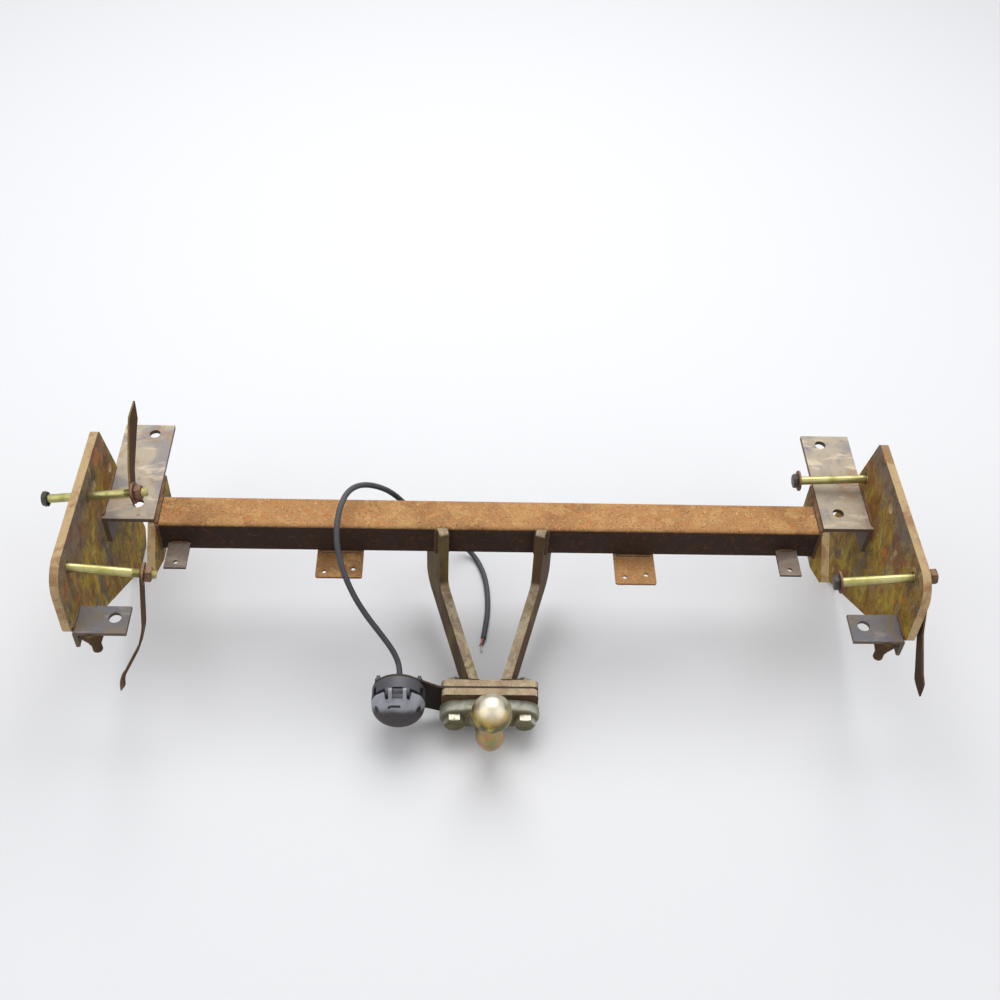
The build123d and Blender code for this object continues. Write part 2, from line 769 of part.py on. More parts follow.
# Socket screws in the recesses, and their nuts behind the plate
screws = []
screw_nuts = []
for turn in screw_angles:
    x = screw_circle * math.cos(math.radians(turn))
    z = screw_circle * math.sin(math.radians(turn))
    seat = facing_plane(socket_face + recess_floor, socket_x + x, socket_drop - z)
    with BuildPart() as screw:
        with BuildSketch(seat):
            Circle(screw_head_radius)
        extrude(amount=screw_head_height)
        with BuildSketch(seat):
            Circle(screw_size / 2)
        extrude(amount=-screw_length)
    screws.append(screw.part)
    behind = facing_plane(socket_plate_back, socket_x + x, socket_drop - z)
    nut_plane = Plane(origin=behind.origin, x_dir=(1, 0, 0), z_dir=(0, 1, 0))
    screw_nuts.append(hexagon(nut_plane, screw_size, screw_size * hex_nut, screw_size))
write(group(screws), "socket_screws")
write(group(screw_nuts), "socket_screw_nuts")

# Gland in the back of the socket: a plug through the plate with a tapering tail
with BuildPart() as cable_gland:
    with BuildSketch(socket_plane(bore_floor)):
        Circle(gland_radius)
    extrude(amount=-gland_length)
    with BuildSketch(socket_plane(bore_floor - gland_length)):
        Circle(gland_radius - 1)
    with BuildSketch(socket_plane(bore_floor - gland_length - gland_tail)):
        Circle(gland_tail_radius)
    loft()
write(cable_gland.part, "cable_gland")

# Cable: straight runs joined by tangent arcs, points chosen along its route from the bar's centre
gland_back = -(socket_face + bore_floor - gland_length - gland_tail)
floor_lie = -floor_drop + cable_radius
cable_route = [
    (socket_x, gland_back, -socket_drop),
    (socket_x, gland_back + 14.0, -socket_drop),
    (-124.0, gland_back + 28.0, -socket_drop + 14.0),
    (-138.0, -118.0, -80.0),
    (-155.0, -106.0, -58.0),
    (-173.0, -92.0, -34.0),
    (-188.0, -72.0, -8.0),
    (-195.0, -44.0, 20.0),
    (-192.0, -8.0, 37.0),
    (-181.0, 24.0, 37.0),
    (-160.0, 46.0, 28.0),
    (-132.0, 56.0, 6.0),
    (-112.0, 63.0, -32.0),
    (-94.0, 76.0, -72.0),
    (-70.0, 92.0, -112.0),
    (-44.0, 103.0, -146.0),
    (-18.0, 92.0, floor_lie),
    (-4.0, 58.0, floor_lie),
    (1.0, 20.0, floor_lie),
    (0.0, -22.0, floor_lie),
    (-6.0, -57.0, floor_lie),
]
points = [Vector(*at(*point)) for point in cable_route]
runs = [(b - a) for a, b in zip(points, points[1:])]
cable_radii = []
for first, second in zip(runs, runs[1:]):
    half_turn = math.radians(first.get_angle(second)) / 2
    cable_radii.append(cable_reach * min(first.length, second.length) / math.tan(half_turn))
print("cable arc radii", [round(radius, 1) for radius in cable_radii])
with BuildPart() as cable:
    with BuildLine() as cable_path:
        FilletPolyline(*points, radius=cable_radii)
    with BuildSketch(Plane(origin=points[0], z_dir=runs[0])):
        Circle(cable_radius)
    sweep(path=cable_path.line)
section = math.pi * cable_radius**2
cable_length = sum(edge.length for edge in cable_path.edges())
print("cable length", round(cable_length, 1))
print("cable volume over section times length", round(cable.part.volume / section / cable_length, 5))
write(cable.part, "cable")

# Cores that stand out of the cable's cut end
cores = []
end_way = runs[-1].normalized()
for index, length in enumerate(core_lengths):
    turn = 2 * math.pi * index / len(core_lengths)
    end_plane = Plane(origin=points[-1], x_dir=(0, 0, 1), z_dir=end_way)
    with BuildPart() as core:
        with BuildSketch(end_plane):
            with Locations((core_circle * math.cos(turn), core_circle * math.sin(turn))):
                Circle(core_radius)
        extrude(amount=length)
    cores.append(core.part)
write(group(cores), "cable_cores")
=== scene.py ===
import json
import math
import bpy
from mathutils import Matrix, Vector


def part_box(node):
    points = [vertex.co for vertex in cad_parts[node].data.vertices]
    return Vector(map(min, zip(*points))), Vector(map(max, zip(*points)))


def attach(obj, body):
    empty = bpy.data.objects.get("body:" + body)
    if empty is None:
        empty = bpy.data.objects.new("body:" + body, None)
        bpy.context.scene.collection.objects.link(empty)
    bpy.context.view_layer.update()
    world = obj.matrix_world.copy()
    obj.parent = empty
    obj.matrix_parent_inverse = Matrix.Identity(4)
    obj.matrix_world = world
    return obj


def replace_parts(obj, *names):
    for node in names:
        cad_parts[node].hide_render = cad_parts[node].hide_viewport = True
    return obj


bl_info = {
    "name": "Towbar looks",
    "version": (1, 0, 0),
    "blender": (4, 5, 0),
    "location": "View3D > Sidebar > Towbar",
    "description": "Brackets, ball, welds, bolts, socket, cable, finishes and stage of a bolt-on towbar",
    "category": "Object",
}

import bmesh
import bpy
import numpy as np
from bpy.props import FloatProperty, FloatVectorProperty, PointerProperty
from mathutils import Matrix

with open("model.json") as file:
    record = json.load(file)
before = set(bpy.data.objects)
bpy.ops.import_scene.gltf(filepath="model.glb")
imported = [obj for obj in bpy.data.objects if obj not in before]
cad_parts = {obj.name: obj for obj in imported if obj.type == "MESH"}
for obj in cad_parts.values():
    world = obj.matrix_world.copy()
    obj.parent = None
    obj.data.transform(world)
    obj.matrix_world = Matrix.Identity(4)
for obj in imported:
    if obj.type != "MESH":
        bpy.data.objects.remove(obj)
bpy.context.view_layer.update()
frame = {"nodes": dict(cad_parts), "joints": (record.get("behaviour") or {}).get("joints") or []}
NODES = frame["nodes"]

# The crossbar's centre in the frame, whose origin is the centre of the coupling ball, in metres
BAR_LOW, BAR_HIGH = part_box("crossbar")
BAR = (np.array(BAR_LOW) + np.array(BAR_HIGH)) / 2
HALF_BAR = float(BAR_HIGH.z - BAR_LOW.z) / 2
FLOOR_LEVEL = float(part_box("arm_flange_plate")[0].z)
SIDES = (("left", -1), ("right", 1))

# Points nearer than this become one
MERGE = 0.000002

# Edges sharper than these angles, in degrees, stay sharp
SHARP_LID = 24.0
SHARP_BOLT = 25.0
SHARP_STRAP = 30.0
SHARP_PLATE = 35.0
SHARP_FLANGE = 40.0
SHARP_ROUND = 50.0
SHARP_BEAD = 80.0

# How many points go round a piece, and along it
ROUND_COLUMNS = 72
FLANGE_COLUMNS = 144
LID_COLUMNS = 120
HOLE_COLUMNS = 96
SHANK_COLUMNS = 36
BEAD_COLUMNS = 12
CORE_COLUMNS = 10
NECK_ROWS = {"level": 18, "bend": 26, "stem": 16, "ball": 40}
ROUNDING_ROWS = 8
LID_ROWS = 40
CORE_ROWS = 24
RIPPLE_ROWS = 5
PITCH_ROWS = 6
EYE_POINTS = 14
CARRIER_POINTS = 40

# How much of a new surface's sheen rust keeps
DULL = 0.2

# Weld beads: how far the radius swells and wanders, in shares of it, the wander's turning points, the
# rounded end's length in radii, and the random seeds of the four beads on each arm
BEAD_SWELL = 0.10
BEAD_WANDER = 0.10
BEAD_KNOTS = 14
BEAD_END = 1.6
ARM_SEEDS = (40, 41, 50, 51)

# How far beads stop short of a tab's, a bracket's and an arm's corners, where the bead on the outer side of
# a top bracket ends behind the bar, and how near a point is to a face that it lies on
TAB_SHORT = (0.004, 0.003)
BRACKET_SHORT = (0.004, 0.006)
ARM_SHORT = (0.002, 0.001)
BRACKET_BEAD_BACK = 0.070
ON_FACE = 0.0015

# The ball and the two-bolt flange of its forging, as in the CAD model
BALL_RADIUS = 0.025
BALL_FLAT = 0.003
EAR_THICKNESS = 0.016
EAR_RADIUS = 0.0190
EAR_MIDDLE_RADIUS = 0.0225
FLANGE_ROUNDING = 0.0045
FLANGE_CHAMFER = 0.0005
FLANGE_RIM = 0.004

# The ball's neck: its bend, stem and top, how deep it starts in the flange, how it flares there, how much
# the outer side of the bend is drawn in, and the powers by which that and the stem ease in
NECK_BEND = 0.022
NECK_RADIUS = 0.0145
NECK_TOP_DEPTH = 0.0204
NECK_SINK = 0.002
NECK_FLARE = 0.009
NECK_FLARE_LENGTH = 0.0045
NECK_KEEL = 0.30
NECK_KEEL_POWER = 0.7
NECK_STEM_POWER = 1.5

# The neck's half widths at the flange and at the bend, across the bend's plane and in it
NECK_ACROSS = (0.021, 0.018)
NECK_IN_PLANE = (0.018, 0.0165)

# The ball's two bolts
BALL_BOLT_PITCH = 0.090
BALL_BOLT_DROP = 0.072
BALL_BOLT_FLATS = 0.024
BALL_BOLT_HEAD = 0.010
BALL_BOLT_RADIUS = 0.008
BALL_BOLT_LENGTH = 0.060
BALL_BOLT_CHAMFER = 0.001
BALL_SHANK_CHAMFER = 0.0015

# A chamfered hexagon's end face, as a share of its flats
HEX_FACE = 0.97

# The socket's axis from the bar's centre at the thin plate, and its lid and hinge from there
SOCKET_AXIS = (-0.116, -0.181, -0.112)
LID_RADIUS = 0.034
LID_START = 0.017
LID_RIM = 0.0204
LID_FRONT = 0.0444
LID_POWER = 2.6
LID_WALL = 0.0018
LID_INNER = 0.0278
LID_BARREL = 0.0342
LID_PANELS = 3
LID_FLAT = 0.95
LID_NOTCH = 31.5
LID_NOTCH_DEPTH = 0.0315

# The lid's two side recesses: angle from the top, depth, half width, half height and how deep they go, then
# the middle of the painted shade in them from the axis and the squares of its inner and outer radius
RECESS_ANGLE = 68.0
RECESS_PLACE = 0.035
RECESS_HALF_WIDTH = 0.0045
RECESS_HALF_DEPTH = 0.004
RECESS_SINK = 0.0014
RECESS_SHADE_MIDDLE = (0.0265, 0.035, 0.0108)
RECESS_SHADE_EDGE = (0.0000150, 0.0000190)

# The latch slot, painted as a dark patch of shade on the lid: middle as (X, depth), half sizes with their
# soft edges, and lowest height
LATCH_MIDDLE = (-0.004, 0.0392)
LATCH_HALF_WIDTH = (0.0078, 0.0082)
LATCH_HALF_DEPTH = (0.0008, 0.0011)
LATCH_HEIGHT = (0.010, 0.014)

# The hinge and the lid's knuckles on it, with the knuckle's arc in degrees and its foot in the dome
HINGE_DEPTH = 0.026
HINGE_LIFT = 0.038
KNUCKLE_RADIUS = 0.0040
KNUCKLE_FROM = 0.00675
KNUCKLE_TO = 0.01125
KNUCKLE_ARC = (55, 250)
KNUCKLE_FOOT = ((0.0318, 0.0288), (0.0368, 0.0252))

# The thin plate that carries the socket: its round part, then the rest of its outline as (X, Z)
CARRIER_RADIUS = 0.033
CARRIER_ARC = (65, 290)
CARRIER_OUTLINE = ((-0.064, -0.158), (-0.060, -0.171), (0.060, -0.171), (0.060, -0.1052), (-0.060, -0.1052),
                   (-0.066, -0.1040))

# The loose bolts: side, hole's Y and Z from the bar's centre, then places along the shank from the side
# plate's middle, inwards: head, nut, washer and the thread's end, and whether the nut is outside
PLATE_MIDDLE = 0.499
LOOSE_BOLTS = {
    "left_front": (-1, -0.155, 0.097, -0.0120, 0.0920, 0.0894, 0.1060, False),
    "left_middle": (-1, -0.043, 0.095, -0.0500, 0.0640, 0.0614, 0.0790, False),
    "right_front": (1, -0.155, 0.097, 0.0910, -0.0228, 0.0884, -0.0245, True),
    "right_rear": (1, 0.050, 0.050, 0.0950, -0.0145, 0.0924, -0.0240, True),
}
HEX_FLATS = 0.017
HEX_CHAMFER = 0.0008
HEAD_HEIGHT = 0.0064
NUT_HEIGHT = 0.0080
WASHER_RADIUS = 0.0135
WASHER_HOLE = 0.0052
WASHER_THICKNESS = 0.0025
WASHER_CHAMFER = 0.0003
THREAD_LENGTH = 0.030
THREAD_DEPTH = 0.0008
SHANK_CHAMFER = 0.0012

# The straps: place along the bolt, direction in degrees from +Y to +Z, then for each straight run its
# length, its lean outwards and its turn about its own line, in degrees
STRAPS = {
    "left_front": (0.0885, 246.0, ((0.069, -4.0, 0.0), (0.026, 8.0, 0.0), (0.046, 22.0, 0.0),
                                   (0.024, 8.0, 65.0))),
    "left_middle": (0.0605, 41.0, ((0.030, 0.0, 0.0), (0.050, -5.0, 9.0), (0.032, -7.0, 14.0))),
    "right_front": (-0.0135, 241.0, ((0.070, -6.0, 0.0), (0.055, 0.0, 10.0), (0.033, 3.0, 30.0))),
}

# Rows of points along a strap, how many of them a bend is averaged over, and the far point's length in
# half widths
STRAP_ROWS = 90
STRAP_BEND_ROWS = 7
STRAP_POINT = 2.2

# The least a strap narrows to: the square of its share at the near end, and its share at the far one
STRAP_LEAST = (0.02, 0.03)

# The photograph's camera: frame and focal length in pixels, sensor, place from the bar's centre, and its
# pitch, yaw and roll in degrees
PHOTO_PIXELS = 1000.0
FOCAL_PIXELS = 1250.0
SENSOR_MM = 36.0
CAMERA_FROM_BAR = (-0.0530, -1.0774, 1.2311)
CAMERA_PITCH = 47.52
CAMERA_YAW = -3.31
CAMERA_ROLL = 3.30

# Square soft lights: name, place, side and power. Then the sky's light and the background's
LIGHTS = (
    ("light_back", (0.0, 1.6, 2.4), 2.4, 62.0),
    ("light_left", (-2.2, -0.6, 1.9), 3.0, 24.0),
    ("light_right", (2.2, -0.8, 1.9), 3.0, 20.0),
)
SKY = ((0.96, 0.98, 1.0, 1.0), 0.62)
BACKGROUND = ((1.0, 1.0, 1.0, 1.0), 1.0)

# The cable's route from the bar's centre, from the gland to the cut end
CABLE_ROUTE = (
    (-0.1160, -0.1590, -0.1120),
    (-0.1160, -0.1450, -0.1120),
    (-0.1240, -0.1310, -0.0980),
    (-0.1400, -0.1190, -0.0780),
    (-0.1590, -0.1070, -0.0540),
    (-0.1760, -0.0940, -0.0260),
    (-0.1900, -0.0750, 0.0040),
    (-0.1980, -0.0480, 0.0300),
    (-0.1950, -0.0140, 0.0480),
    (-0.1850, 0.0180, 0.0490),
    (-0.1650, 0.0410, 0.0360),
    (-0.1350, 0.0540, 0.0100),
    (-0.1120, 0.0630, -0.0320),
    (-0.0940, 0.0760, -0.0720),
    (-0.0700, 0.0920, -0.1120),
    (-0.0440, 0.1030, -0.1460),
    (-0.0180, 0.0920, -0.16825),
    (-0.0040, 0.0580, -0.16825),
    (0.0010, 0.0200, -0.16825),
    (0.0000, -0.0220, -0.16825),
    (-0.0060, -0.0570, -0.16825),
)

# The cores at the cut end: colour, angle round the cable, lean aside and length, then the circle that
# they lie on, how far they splay, and how far back inside the jacket they start, in shares of their length
CORES = (
    ("red", "b0392f", 0.0, 1.0, 0.015),
    ("white", "d8cfc8", 2.1, -0.6, 0.022),
    ("black", "1b1b1c", 4.2, 0.4, 0.011),
)
CORE_CIRCLE = 0.0017
CORE_SPLAY = 0.20
CORE_START = -0.15


def tone(code):
    """A colour as it looks on screen, written in hex, as Blender's linear light."""
    parts = [int(code[i:i + 2], 16) / 255 for i in (0, 2, 4)]
    return tuple(c / 12.92 if c <= 0.04045 else ((c + 0.055) / 1.055) ** 2.4 for c in parts)


def colour(name, about, code):
    """A colour property whose default is written in hex."""
    return FloatVectorProperty(name=name, description=about, subtype="COLOR", size=3, min=0, max=1,
                               default=tone(code))


def length(name, about, value):
    """A length property in metres."""
    return FloatProperty(name=name, description=about, subtype="DISTANCE", unit="LENGTH", min=0,
                         default=value)


class TowbarColours(bpy.types.PropertyGroup):
    """Colours that a user would change."""

    # Bar top is the rust as lit from above, painted light; bar side is dark rust with painted shade on the
    # faces that the light misses
    bar_lit_top: colour("Bar top", "Orange rust on the bar's upper face", "a87c50")
    bar_side: colour("Bar side", "Almost black rust on the bar's other faces", "33241b")
    bright_rust: colour("Bright rust", "Fresh orange specks", "b4672c")
    old_rust: colour("Old rust", "Almost black pits", "241812")
    plate: colour("Plate", "Dusty brown of the side plates", "6f5f4b")
    mud: colour("Mud", "Yellow-brown mud and moss stains", "84661f")
    plate_edge: colour("Plate edge", "Tan rust on the plates' cut edges", "b0966f")
    bracket: colour("Bracket", "Pale worn steel of the brackets", "a39682")
    blueing: colour("Blueing", "Blue-grey and purple tones of bare steel", "5d6070")
    # Arm is olive brown with painted shade on the arms' sides; arm top is painted light on their level edges
    arm: colour("Arm", "Olive brown of the arms", "533f29")
    arm_lit_top: colour("Arm top", "Pale worn top of the arms", "a08c75")
    # Flange is brown with painted shade on the plates' fronts; flange top is painted light on their level
    # edges
    flange: colour("Flange", "Brown front of the flange plates", "4c3525")
    flange_lit_top: colour("Flange top", "Dusty top of the flange plates", "ab957b")
    socket_plate: colour("Socket plate", "Dark paint of the thin plate", "1f1613")
    ball: colour("Ball", "Yellow-green tint of the ball", "b09a52")
    ball_blush: colour("Ball blush", "Pink tint of the ball's plating", "a87f68")
    forging: colour("Forging", "Greenish grey zinc of the ball's flange", "a7a89b")
    zinc: colour("Zinc", "Pale zinc of the bolt heads", "b5b1a2")
    yellow_zinc: colour("Yellow zinc", "Yellow plating of the loose bolts", "b5ad7a")
    head: colour("Bolt head", "Dull grey of the loose bolts' heads", "55524d")
    nut: colour("Nut", "Brown rust on nuts and washers", "6b4a38")
    strap: colour("Strap", "Dark rust of the welded straps", "46301f")
    tab: colour("Tab", "Rust of the wide tabs", "8a5a30")
    grey_tab: colour("Grey tab", "Brownish grey of the narrow tabs", "85756a")
    plastic: colour("Plastic", "Moulding of the socket", "3b3b41")
    cable: colour("Cable", "Jacket of the cable", "2f3036")
    floor: colour("Floor", "Pale floor", "d4d4d6")


class TowbarSizes(bpy.types.PropertyGroup):
    """Sizes that a user would change."""

    weld: length("Weld", "Radius of the weld beads", 0.0029)
    ripple: length("Ripple", "Distance between the ripples of a weld", 0.0030)
    bracket_thickness: length("Bracket thickness", "Thickness of the top brackets", 0.006)
    bracket_hole: length("Bracket hole", "Width of the top brackets' holes", 0.0145)
    bracket_hole_in: length("Bracket hole in", "From the bracket's inner edge to its holes", 0.024)
    bracket_hole_front: length("Front hole", "From the bracket's front to its first hole", 0.027)
    bracket_hole_rear: length("Rear hole", "From the bracket's front to its second hole", 0.153)
    tab_thickness: length("Tab thickness", "Thickness of the narrow tabs", 0.003)
    tab_reach: length("Tab reach", "How far the narrow tabs stand out of the bar", 0.042)
    tab_sink: length("Tab sink", "From the node's top down to the level tab", 0.006)
    tab_hole: length("Tab hole", "Width of the narrow tabs' holes", 0.006)
    tab_hole_in: length("Tab hole in", "From a narrow tab's front edge to its hole", 0.009)
    shank: length("Shank", "Radius of the loose bolts' shanks", 0.0054)
    pitch: length("Pitch", "Pitch of the loose bolts' threads", 0.0015)
    strap_width: length("Strap width", "Width of the nut straps", 0.019)
    strap_thickness: length("Strap thickness", "Thickness of the nut straps", 0.0024)
    cable_radius: length("Cable radius", "Half of the cable's thickness", 0.00375)
    core_radius: length("Core radius", "Half of one core's thickness", 0.0011)
    floor_size: length("Floor size", "Length of the floor's side", 9.0)


class Value:
    """A shader socket that takes part in Python arithmetic."""

    def __init__(self, finish, socket):
        self.finish = finish
        self.socket = socket

    def math(self, operation, *others):
        """A Math node on this socket and any others."""
        return self.finish.node("ShaderNodeMath", {"operation": operation}, dict(enumerate((self, *others))))

    def __add__(self, other):
        return self.math("ADD", other)

    def __sub__(self, other):
        return self.math("SUBTRACT", other)

    def __mul__(self, other):
        return self.math("MULTIPLY", other)

    def __rsub__(self, other):
        return self.finish.node("ShaderNodeMath", {"operation": "SUBTRACT"}, {0: other, 1: self})

    __radd__ = __add__
    __rmul__ = __mul__

    def between(self, low, high):
        """0 at or under low, 1 at or over high, and smooth between them."""
        settings = {"interpolation_type": "SMOOTHSTEP"}
        return self.finish.node("ShaderNodeMapRange", settings, {0: self, 1: low, 2: high})


class Finish:
    """A material as it is put together. Its nodes come from node(), and surface() ends it."""

    def __init__(self, name, seed=0.0):
        self.material = bpy.data.materials.new(name)
        self.material.use_nodes = True
        self.tree = self.material.node_tree
        self.tree.nodes.clear()
        self.where = self.node("ShaderNodeTexCoord", out="Object")
        self.normal = self.node("ShaderNodeTexCoord", out="Normal")
        shift = (seed, seed * 0.7, -seed * 1.3)
        self.place = self.node("ShaderNodeVectorMath", {"operation": "ADD"}, {0: self.where, 1: shift})

    def node(self, kind, settings=None, inputs=None, out=0):
        """One node: its settings first, then the values or links of its sockets."""
        made = self.tree.nodes.new(kind)
        for key, value in (settings or {}).items():
            setattr(made, key, value)
        for key, value in (inputs or {}).items():
            socket = made.inputs[key]
            if isinstance(value, Value):
                self.tree.links.new(value.socket, socket)
            elif socket.type == "RGBA" and len(value) == 3:
                socket.default_value = (*value, 1.0)
            else:
                socket.default_value = value
        return Value(self, made.outputs[out]) if made.outputs else made

    def axis(self, vector, index):
        """One component of a vector."""
        return self.node("ShaderNodeSeparateXYZ", inputs={0: vector}, out=index)

    def stretched(self, scale, turn=(0.0, 0.0, 0.0)):
        """The object's coordinates, scaled along each axis."""
        return self.node("ShaderNodeMapping", inputs={0: self.place, 2: turn, 3: scale})

    def noise(self, scale, detail=4.0, rough=0.55, vector=None, warp=0.0):
        """Fractal noise from 0 to 1, whose scale counts features in one metre."""
        return self.node("ShaderNodeTexNoise", inputs={
            "Vector": vector or self.place, "Scale": scale, "Detail": detail, "Roughness": rough,
            "Distortion": warp})

    def mix(self, share, first, second):
        """First colour where share is 0, second where it is 1."""
        return self.node("ShaderNodeMix", {"data_type": "RGBA"}, {0: share, 6: first, 7: second}, out=2)

    def bump(self, height, distance, strength):
        """A normal from a height from 0 to 1 that stands for a distance in metres."""
        inputs = {"Height": height, "Distance": distance, "Strength": strength}
        return self.node("ShaderNodeBump", inputs=inputs)

    def surface(self, base, rough, metal=0.0, normal=None, **others):
        """Ends the material with one principled shader."""
        inputs = {"Base Color": base, "Roughness": rough, "Metallic": metal, **others}
        if normal:
            inputs["Normal"] = normal
        shader = self.node("ShaderNodeBsdfPrincipled", inputs=inputs)
        self.node("ShaderNodeOutputMaterial", inputs={0: shader})
        return self.material


def dress(material, *names):
    """Gives CAD nodes a material."""
    for name in names:
        mesh = NODES[name].data
        mesh.materials.clear()
        mesh.materials.append(material)


def weathered(name, side, top, bright, dark, seed=0.0, speckle=0.55, pits=0.6, stain=None, stain_amount=0.5,
              rough=0.78, metal=0.0, grit=0.5):
    """Rusted steel: blotches over two colours, the top colour on level faces as painted light and the side
    colour on the other faces as rust with painted shade, with fresh specks, pale grit and pits.
    """
    finish = Finish(name, seed)
    level = finish.axis(finish.normal, 2).between(0.25, 0.85)
    # Painted light and shade: level faces take the top colour as if lit from above, the other faces the
    # darker side colour as if shaded
    base = finish.mix(level, side, top)
    broad = finish.noise(9.0, 6.0, 0.62, warp=0.6)
    base = finish.mix(broad.between(0.44, 0.70) * 0.40, base, dark)
    if stain:
        runs = finish.noise(14.0, 6.0, 0.62, finish.stretched((1.0, 1.0, 0.35)), 0.8)
        patch = runs.between(0.48, 0.64) * stain_amount
        base = finish.mix(patch, base, stain)
    haze = finish.noise(52.0, 6.0, 0.66, warp=0.5)
    sandy = tuple(min(1.0, c * k) for c, k in zip(top, (1.25, 1.45, 1.40)))
    base = finish.mix(haze.between(0.49, 0.60) * level * 0.55, base, sandy)
    middle = finish.noise(120.0, 7.0, 0.72, warp=0.2)
    base = finish.mix(middle.between(0.52, 0.66) * (level * 0.85 + 0.15) * speckle, base, bright)
    pale = tuple(min(1.0, c * 1.9 + 0.02) for c in top)
    coarse = finish.noise(260.0, 4.0, 0.7, warp=0.3)
    base = finish.mix(coarse.between(0.56, 0.70) * level * grit, base, pale)
    fine = finish.noise(430.0, 5.0, 0.75)
    base = finish.mix(fine.between(0.53, 0.64) * pits, base, dark)
    height = fine * 0.6 + coarse * 0.35 + middle * 0.5
    normal = finish.bump(height, 0.0008, 0.7)
    shine = rough + (fine - 0.5) * 0.25
    return finish.surface(base, shine, metal, normal, **{"Specular IOR Level": DULL})


def caked(name, shade, edge, mud, bright, dark, seed=0.0):
    """A rusted plate that faces along X: its cut edges are pale, mud and moss run down its faces from the
    height of the bar, and grey-purple bare patches and orange spots show between them."""
    finish = Finish(name, seed)
    across = finish.axis(finish.normal, 0)
    flat = (across * across).between(0.35, 0.65)
    broad = finish.noise(8.0, 6.0, 0.6, warp=0.8)
    face = finish.mix(broad.between(0.40, 0.62) * 0.7, shade, tone("55505a"))
    height = finish.axis(finish.where, 2)
    runs = finish.noise(20.0, 7.0, 0.66, finish.stretched((1.0, 1.3, 0.45), (0.35, 0.0, 0.0)), 0.9)
    low = 1.0 - (height + (broad - 0.5) * 0.14).between(0.10, 0.19)
    face = finish.mix(runs.between(0.34, 0.52) * (0.22 + low * 0.78), face, mud)
    moss = finish.noise(46.0, 6.0, 0.7, finish.stretched((1.0, 1.0, 0.5)), 0.6)
    face = finish.mix(moss.between(0.52, 0.60) * low * 0.75, face, tone("a08c26"))
    face = finish.mix((1.0 - moss.between(0.36, 0.47)) * 0.55, face, dark)
    patch = finish.noise(15.0, 6.0, 0.68, warp=1.1)
    face = finish.mix(patch.between(0.53, 0.60) * 0.60, face, tone("6e3f1e"))
    face = finish.mix((1.0 - patch.between(0.38, 0.46)) * 0.65, face, tone("453a35"))
    spots = finish.noise(34.0, 5.0, 0.6, warp=0.4)
    face = finish.mix(spots.between(0.60, 0.68) * 0.6, face, bright)
    face = finish.mix((1.0 - spots.between(0.30, 0.40)) * 0.5, face, tone("b3a36a"))
    rim = finish.mix(spots.between(0.45, 0.62) * 0.6, edge, tone("7c5335"))
    base = finish.mix(flat, rim, face)
    grit = finish.noise(240.0, 5.0, 0.7)
    base = finish.mix(grit.between(0.58, 0.70) * 0.35, base, tuple(c * 1.7 for c in edge))
    fine = finish.noise(420.0, 5.0, 0.72)
    base = finish.mix(fine.between(0.55, 0.66) * 0.45, base, dark)
    normal = finish.bump(fine * 0.5 + grit * 0.4 + moss * 0.5, 0.0008, 0.7)
    return finish.surface(base, 0.78 + (fine - 0.5) * 0.2, 0.0, normal, **{"Specular IOR Level": DULL})


def worn(name, face, bluish, tan, dark, seed=0.0, blue_share=0.5):
    """Bare steel that rubbed on a chassis rail: pale dust, blue-purple patches, tan stains, and sides painted
    dark brown, partly rust and partly painted shade.
    """
    finish = Finish(name, seed)
    level = finish.axis(finish.normal, 2).between(0.4, 0.9)
    broad = finish.noise(17.0, 5.0, 0.6, warp=0.7)
    base = finish.mix(broad.between(0.42, 0.60) * blue_share, face, bluish)
    cloud = finish.noise(30.0, 6.0, 0.62, warp=0.9)
    base = finish.mix(cloud.between(0.52, 0.66) * 0.65, base, tan)
    smear = finish.noise(48.0, 5.0, 0.6, finish.stretched((0.5, 1.6, 1.0), (0.0, 0.0, 0.5)), 0.4)
    base = finish.mix(smear.between(0.55, 0.68) * 0.6, base, tuple(min(1.0, c * 1.7) for c in face))
    # Rust and painted shade: faces that are not level turn dark brown
    base = finish.mix(1.0 - level, base, tone("54402e"))
    fine = finish.noise(340.0, 5.0, 0.72)
    base = finish.mix(fine.between(0.57, 0.68) * 0.40, base, dark)
    edge = finish.noise(90.0, 4.0, 0.6)
    base = finish.mix(edge.between(0.66, 0.72) * 0.5, base, dark)
    normal = finish.bump(fine * 0.5 + edge * 0.3, 0.0005, 0.6)
    return finish.surface(base, 0.48 + cloud * 0.25, level * 0.25, normal)


def plated(name, base, shade, rough=0.32, metal=0.9, seed=0.0, front_shade=None):
    """Zinc plating, clouded, with dull stains and fine scratches, and painted shade, a darker colour, on
    faces that look forwards.
    """
    finish = Finish(name, seed)
    cloud = finish.noise(45.0, 5.0, 0.6, warp=0.6)
    coat = finish.mix(cloud.between(0.35, 0.68) * 0.75, base, shade)
    # Painted shade: faces that look forwards, away from the light, take the darker front colour
    if front_shade:
        forwards = (finish.axis(finish.normal, 1) * -1.0).between(0.6, 0.95)
        coat = finish.mix(forwards * 0.85, coat, front_shade)
    fine = finish.noise(420.0, 4.0, 0.65)
    coat = finish.mix(fine.between(0.60, 0.72) * 0.6, coat, tuple(c * 0.4 for c in shade))
    scratch = finish.noise(160.0, 2.0, 0.5, finish.stretched((0.15, 2.5, 2.5)))
    normal = finish.bump(fine * 0.5 + scratch * 0.5, 0.0003, 0.4)
    shine = rough + cloud.between(0.4, 0.7) * 0.22 + (fine - 0.5) * 0.15
    return finish.surface(coat, shine, metal, normal)


